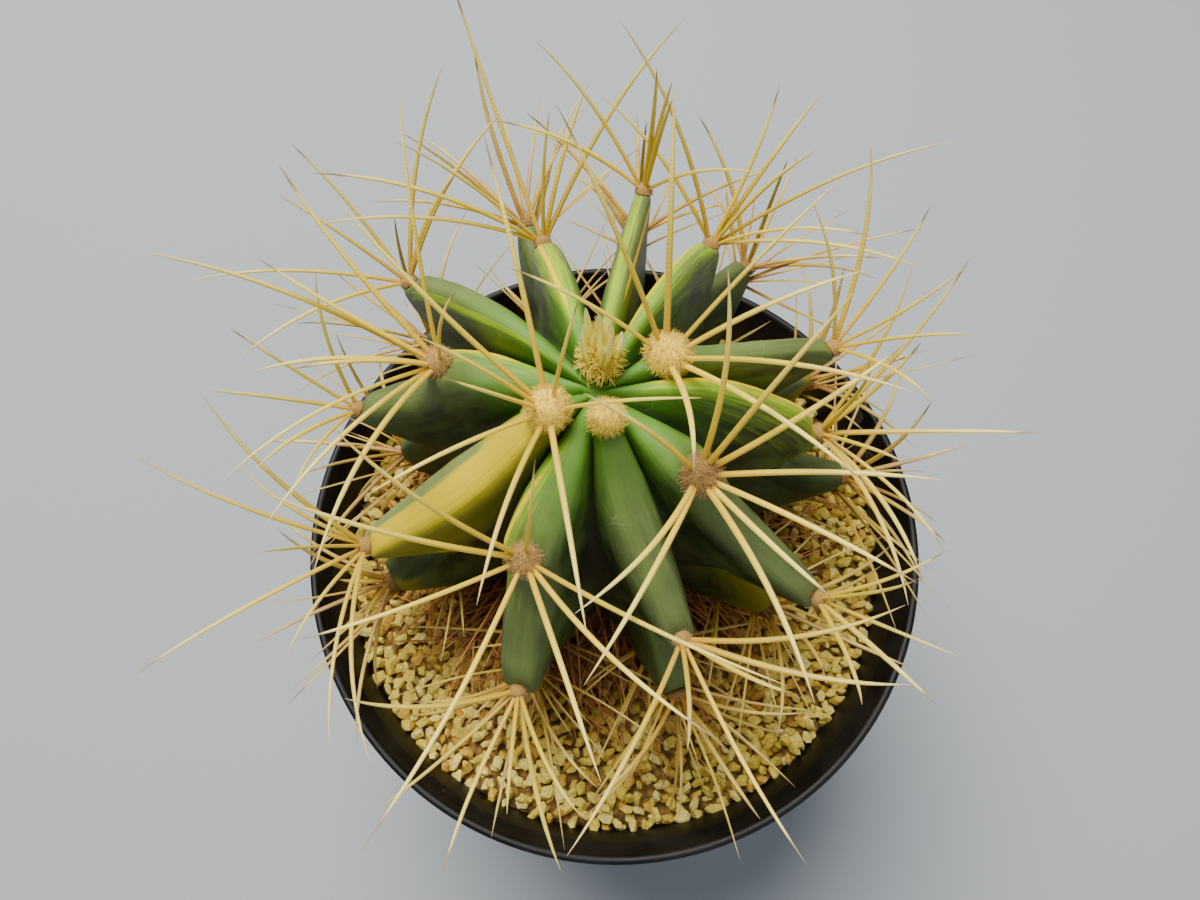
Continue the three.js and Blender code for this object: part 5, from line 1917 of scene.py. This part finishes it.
def felt(settings):
    """Areole wool: felted plant hair, cream when new, tan and then brown with age, paler at its tips."""
    material, tree = start_material("areole_wool_felted")
    place = add(tree, "ShaderNodeTexCoord", out="Object")
    tone, tip, age = (
        add(tree, "ShaderNodeAttribute", out="Fac", attribute_name=name) for name in ("tone", "tip", "age")
    )
    aged = add(tree, "ShaderNodeValToRGB", {"Fac": age}, stops=[
        (0.0, tuple(settings.cream)), (0.3, colour("#f4d470")), (0.6, colour("#d8b060")),
        (1.0, tuple(settings.tan)),
    ])
    root = add(tree, "ShaderNodeValToRGB", {"Fac": age}, stops=[
        (0.0, colour("#f4d040")), (0.3, colour("#d09a38")), (0.6, colour("#a88040")),
        (1.0, colour("#7c5a28")),
    ])
    paler = add(tree, "ShaderNodeMapRange", {"Value": tip, "From Max": 0.7, "To Min": 0.2})
    mixed = add(tree, "ShaderNodeMix", {"Factor": paler, "A": root, "B": aged}, data_type="RGBA")
    lit = add(tree, "ShaderNodeMapRange", {"Value": tone, "To Min": 0.85, "To Max": 1.15})
    base = add(tree, "ShaderNodeVectorMath", {0: mixed, "Scale": lit}, operation="SCALE")
    lint = add(tree, "ShaderNodeTexNoise", {"Vector": place, "Scale": per_mm(0.3), "Detail": 3.0})
    bump = add(tree, "ShaderNodeBump", {"Height": lint, "Strength": 0.8, "Distance": 0.15 * MM})
    end_material(tree, **{
        "Base Color": base, "Roughness": 0.9, "Normal": bump, "Sheen Weight": 0.2,
        "Subsurface Weight": 0.12, "Subsurface Radius": (1.0, 0.9, 0.6), "Subsurface Scale": 0.5 * MM,
    })
    return material


class CACTUS_OT_wool(Operator):
    """Builds the wool of every areole, ring by ring"""

    bl_idname = "cactus.wool"
    bl_label = "Build wool"

    def execute(self, context):
        settings = context.scene.cactus.wool
        tree = wool_tree()
        material = felt(settings)
        for ring in AGES:
            members = [(name, t) for name, r, t in all_tubercles() if r == ring]
            rows, faces = [], []
            for name, t in members:
                faces += pad_faces(sum(len(row) for row in rows))
                rows.append(pad_points(t, *wool_of(name, ring)[2:]))
            pads = mesh_piece("pads", np.vstack(rows), faces)
            for place, field in enumerate(("age", "hair")):
                values = [wool_of(name, ring)[place] for name, _ in members]
                store(pads, field, np.repeat(values, len(rows[0])))
            store(pads, "tone", np.full(len(pads.data.vertices), PAD_TONE))
            store(pads, "tip", np.zeros(len(pads.data.vertices)))
            wool = grown_from(f"wool_{ring}", pads, tree, {
                "Density": settings.density / MM ** 2, "Length": settings.length,
                "Hair radius": settings.radius, "Seed": settings.seed, "Material": material,
            })
            dress(wool, material, "wool", *[name for name, _ in members])
        return {"FINISHED"}


# The stage

PHOTO_WIDTH = 1200
PHOTO_FOCAL = 900
SENSOR = 36.0
CAMERA_PLACE = (-0.0025, -0.0382, 0.2416)
CAMERA_LEAN = 19.4
CAMERA_NEAR = 10
FLOOR_REACH = 3000.0
LIGHT_AIM = (0, 0, 0.1)
KEY_PLACE = (-0.14, 0.3, 0.76)
KEY_SIZE = 0.5
FILL_PLACE = (0.45, -0.5, 0.6)
FILL_SIZE = 0.8


def studio_light(name, place, size, power, tint):
    """A soft round lamp aimed at the plant."""
    data = bpy.data.lights.new(name, "AREA")
    data.shape = "DISK"
    data.size = size
    data.energy = power
    data.color = colour(tint)[:3]
    light = link(name, data)
    light.location = place
    aim = Vector(LIGHT_AIM) - Vector(place)
    light.rotation_euler = aim.to_track_quat("-Z", "Y").to_euler()


def matt_paper(settings):
    """Matt backdrop paper: pale and even, with a faint tooth."""
    material, tree = start_material("matt_backdrop_paper")
    place = add(tree, "ShaderNodeTexCoord", out="Object")
    tooth = add(tree, "ShaderNodeTexNoise", {"Vector": place, "Scale": per_mm(1.5), "Detail": 3.0})
    bump = add(tree, "ShaderNodeBump", {"Height": tooth, "Strength": 0.08, "Distance": 0.1 * MM})
    end_material(tree, **{"Base Color": tuple(settings.floor), "Roughness": 0.85, "Normal": bump})
    return material


class CACTUS_OT_stage(Operator):
    """Sets up the floor, the soft studio light and the camera at the photograph's angle"""

    bl_idname = "cactus.stage"
    bl_label = "Set stage"

    def execute(self, context):
        settings = context.scene.cactus.stage
        reach = FLOOR_REACH
        corners = [(-reach, -reach, 0), (reach, -reach, 0), (reach, reach, 0), (-reach, reach, 0)]
        floor = mesh_piece("floor", corners, [(0, 1, 2, 3)])
        floor.data.materials.append(matt_paper(settings))
        studio_light("key", KEY_PLACE, KEY_SIZE, settings.key, "#fff9ee")
        studio_light("fill", FILL_PLACE, FILL_SIZE, settings.fill, "#eef3ff")
        world = bpy.data.worlds.new("studio")
        context.scene.world = world
        world.use_nodes = True
        sky = world.node_tree.nodes["Background"]
        sky.inputs["Color"].default_value = colour("#e9eef4")
        sky.inputs["Strength"].default_value = settings.sky
        data = bpy.data.cameras.new("camera")
        data.sensor_width = SENSOR
        data.lens = PHOTO_FOCAL * SENSOR / PHOTO_WIDTH
        data.clip_start = CAMERA_NEAR * MM
        camera = link("camera", data)
        camera.location = CAMERA_PLACE
        camera.rotation_euler = (math.radians(CAMERA_LEAN), 0, 0)
        context.scene.camera = camera
        return {"FINISHED"}


class CACTUS_PT_panel(Panel):
    """Lists the steps of the build"""

    bl_label = "Potted cactus"
    bl_idname = "CACTUS_PT_panel"
    bl_space_type = "VIEW_3D"
    bl_region_type = "UI"
    bl_category = "Cactus"

    def draw(self, context):
        for operator in OPERATORS:
            self.layout.operator(operator.bl_idname)


OPERATORS = (
    CACTUS_OT_pot, CACTUS_OT_soil, CACTUS_OT_grit, CACTUS_OT_stem, CACTUS_OT_wool, CACTUS_OT_spines,
    CACTUS_OT_litter, CACTUS_OT_stage,
)
CLASSES = (
    PotSettings, GritSettings, StemSettings, WoolSettings, SpineSettings, StageSettings, CactusSettings,
    *OPERATORS, CACTUS_PT_panel,
)


def register():
    for item in CLASSES:
        bpy.utils.register_class(item)
    bpy.types.Scene.cactus = PointerProperty(type=CactusSettings)


def unregister():
    del bpy.types.Scene.cactus
    for item in reversed(CLASSES):
        bpy.utils.unregister_class(item)


def main():
    """Builds the whole piece."""
    register()
    bpy.ops.cactus.pot()
    bpy.ops.cactus.soil()
    bpy.ops.cactus.grit()
    bpy.ops.cactus.stem()
    bpy.ops.cactus.wool()
    bpy.ops.cactus.spines()
    bpy.ops.cactus.litter()
    bpy.ops.cactus.stage()


if __name__ == "__main__":
    main()
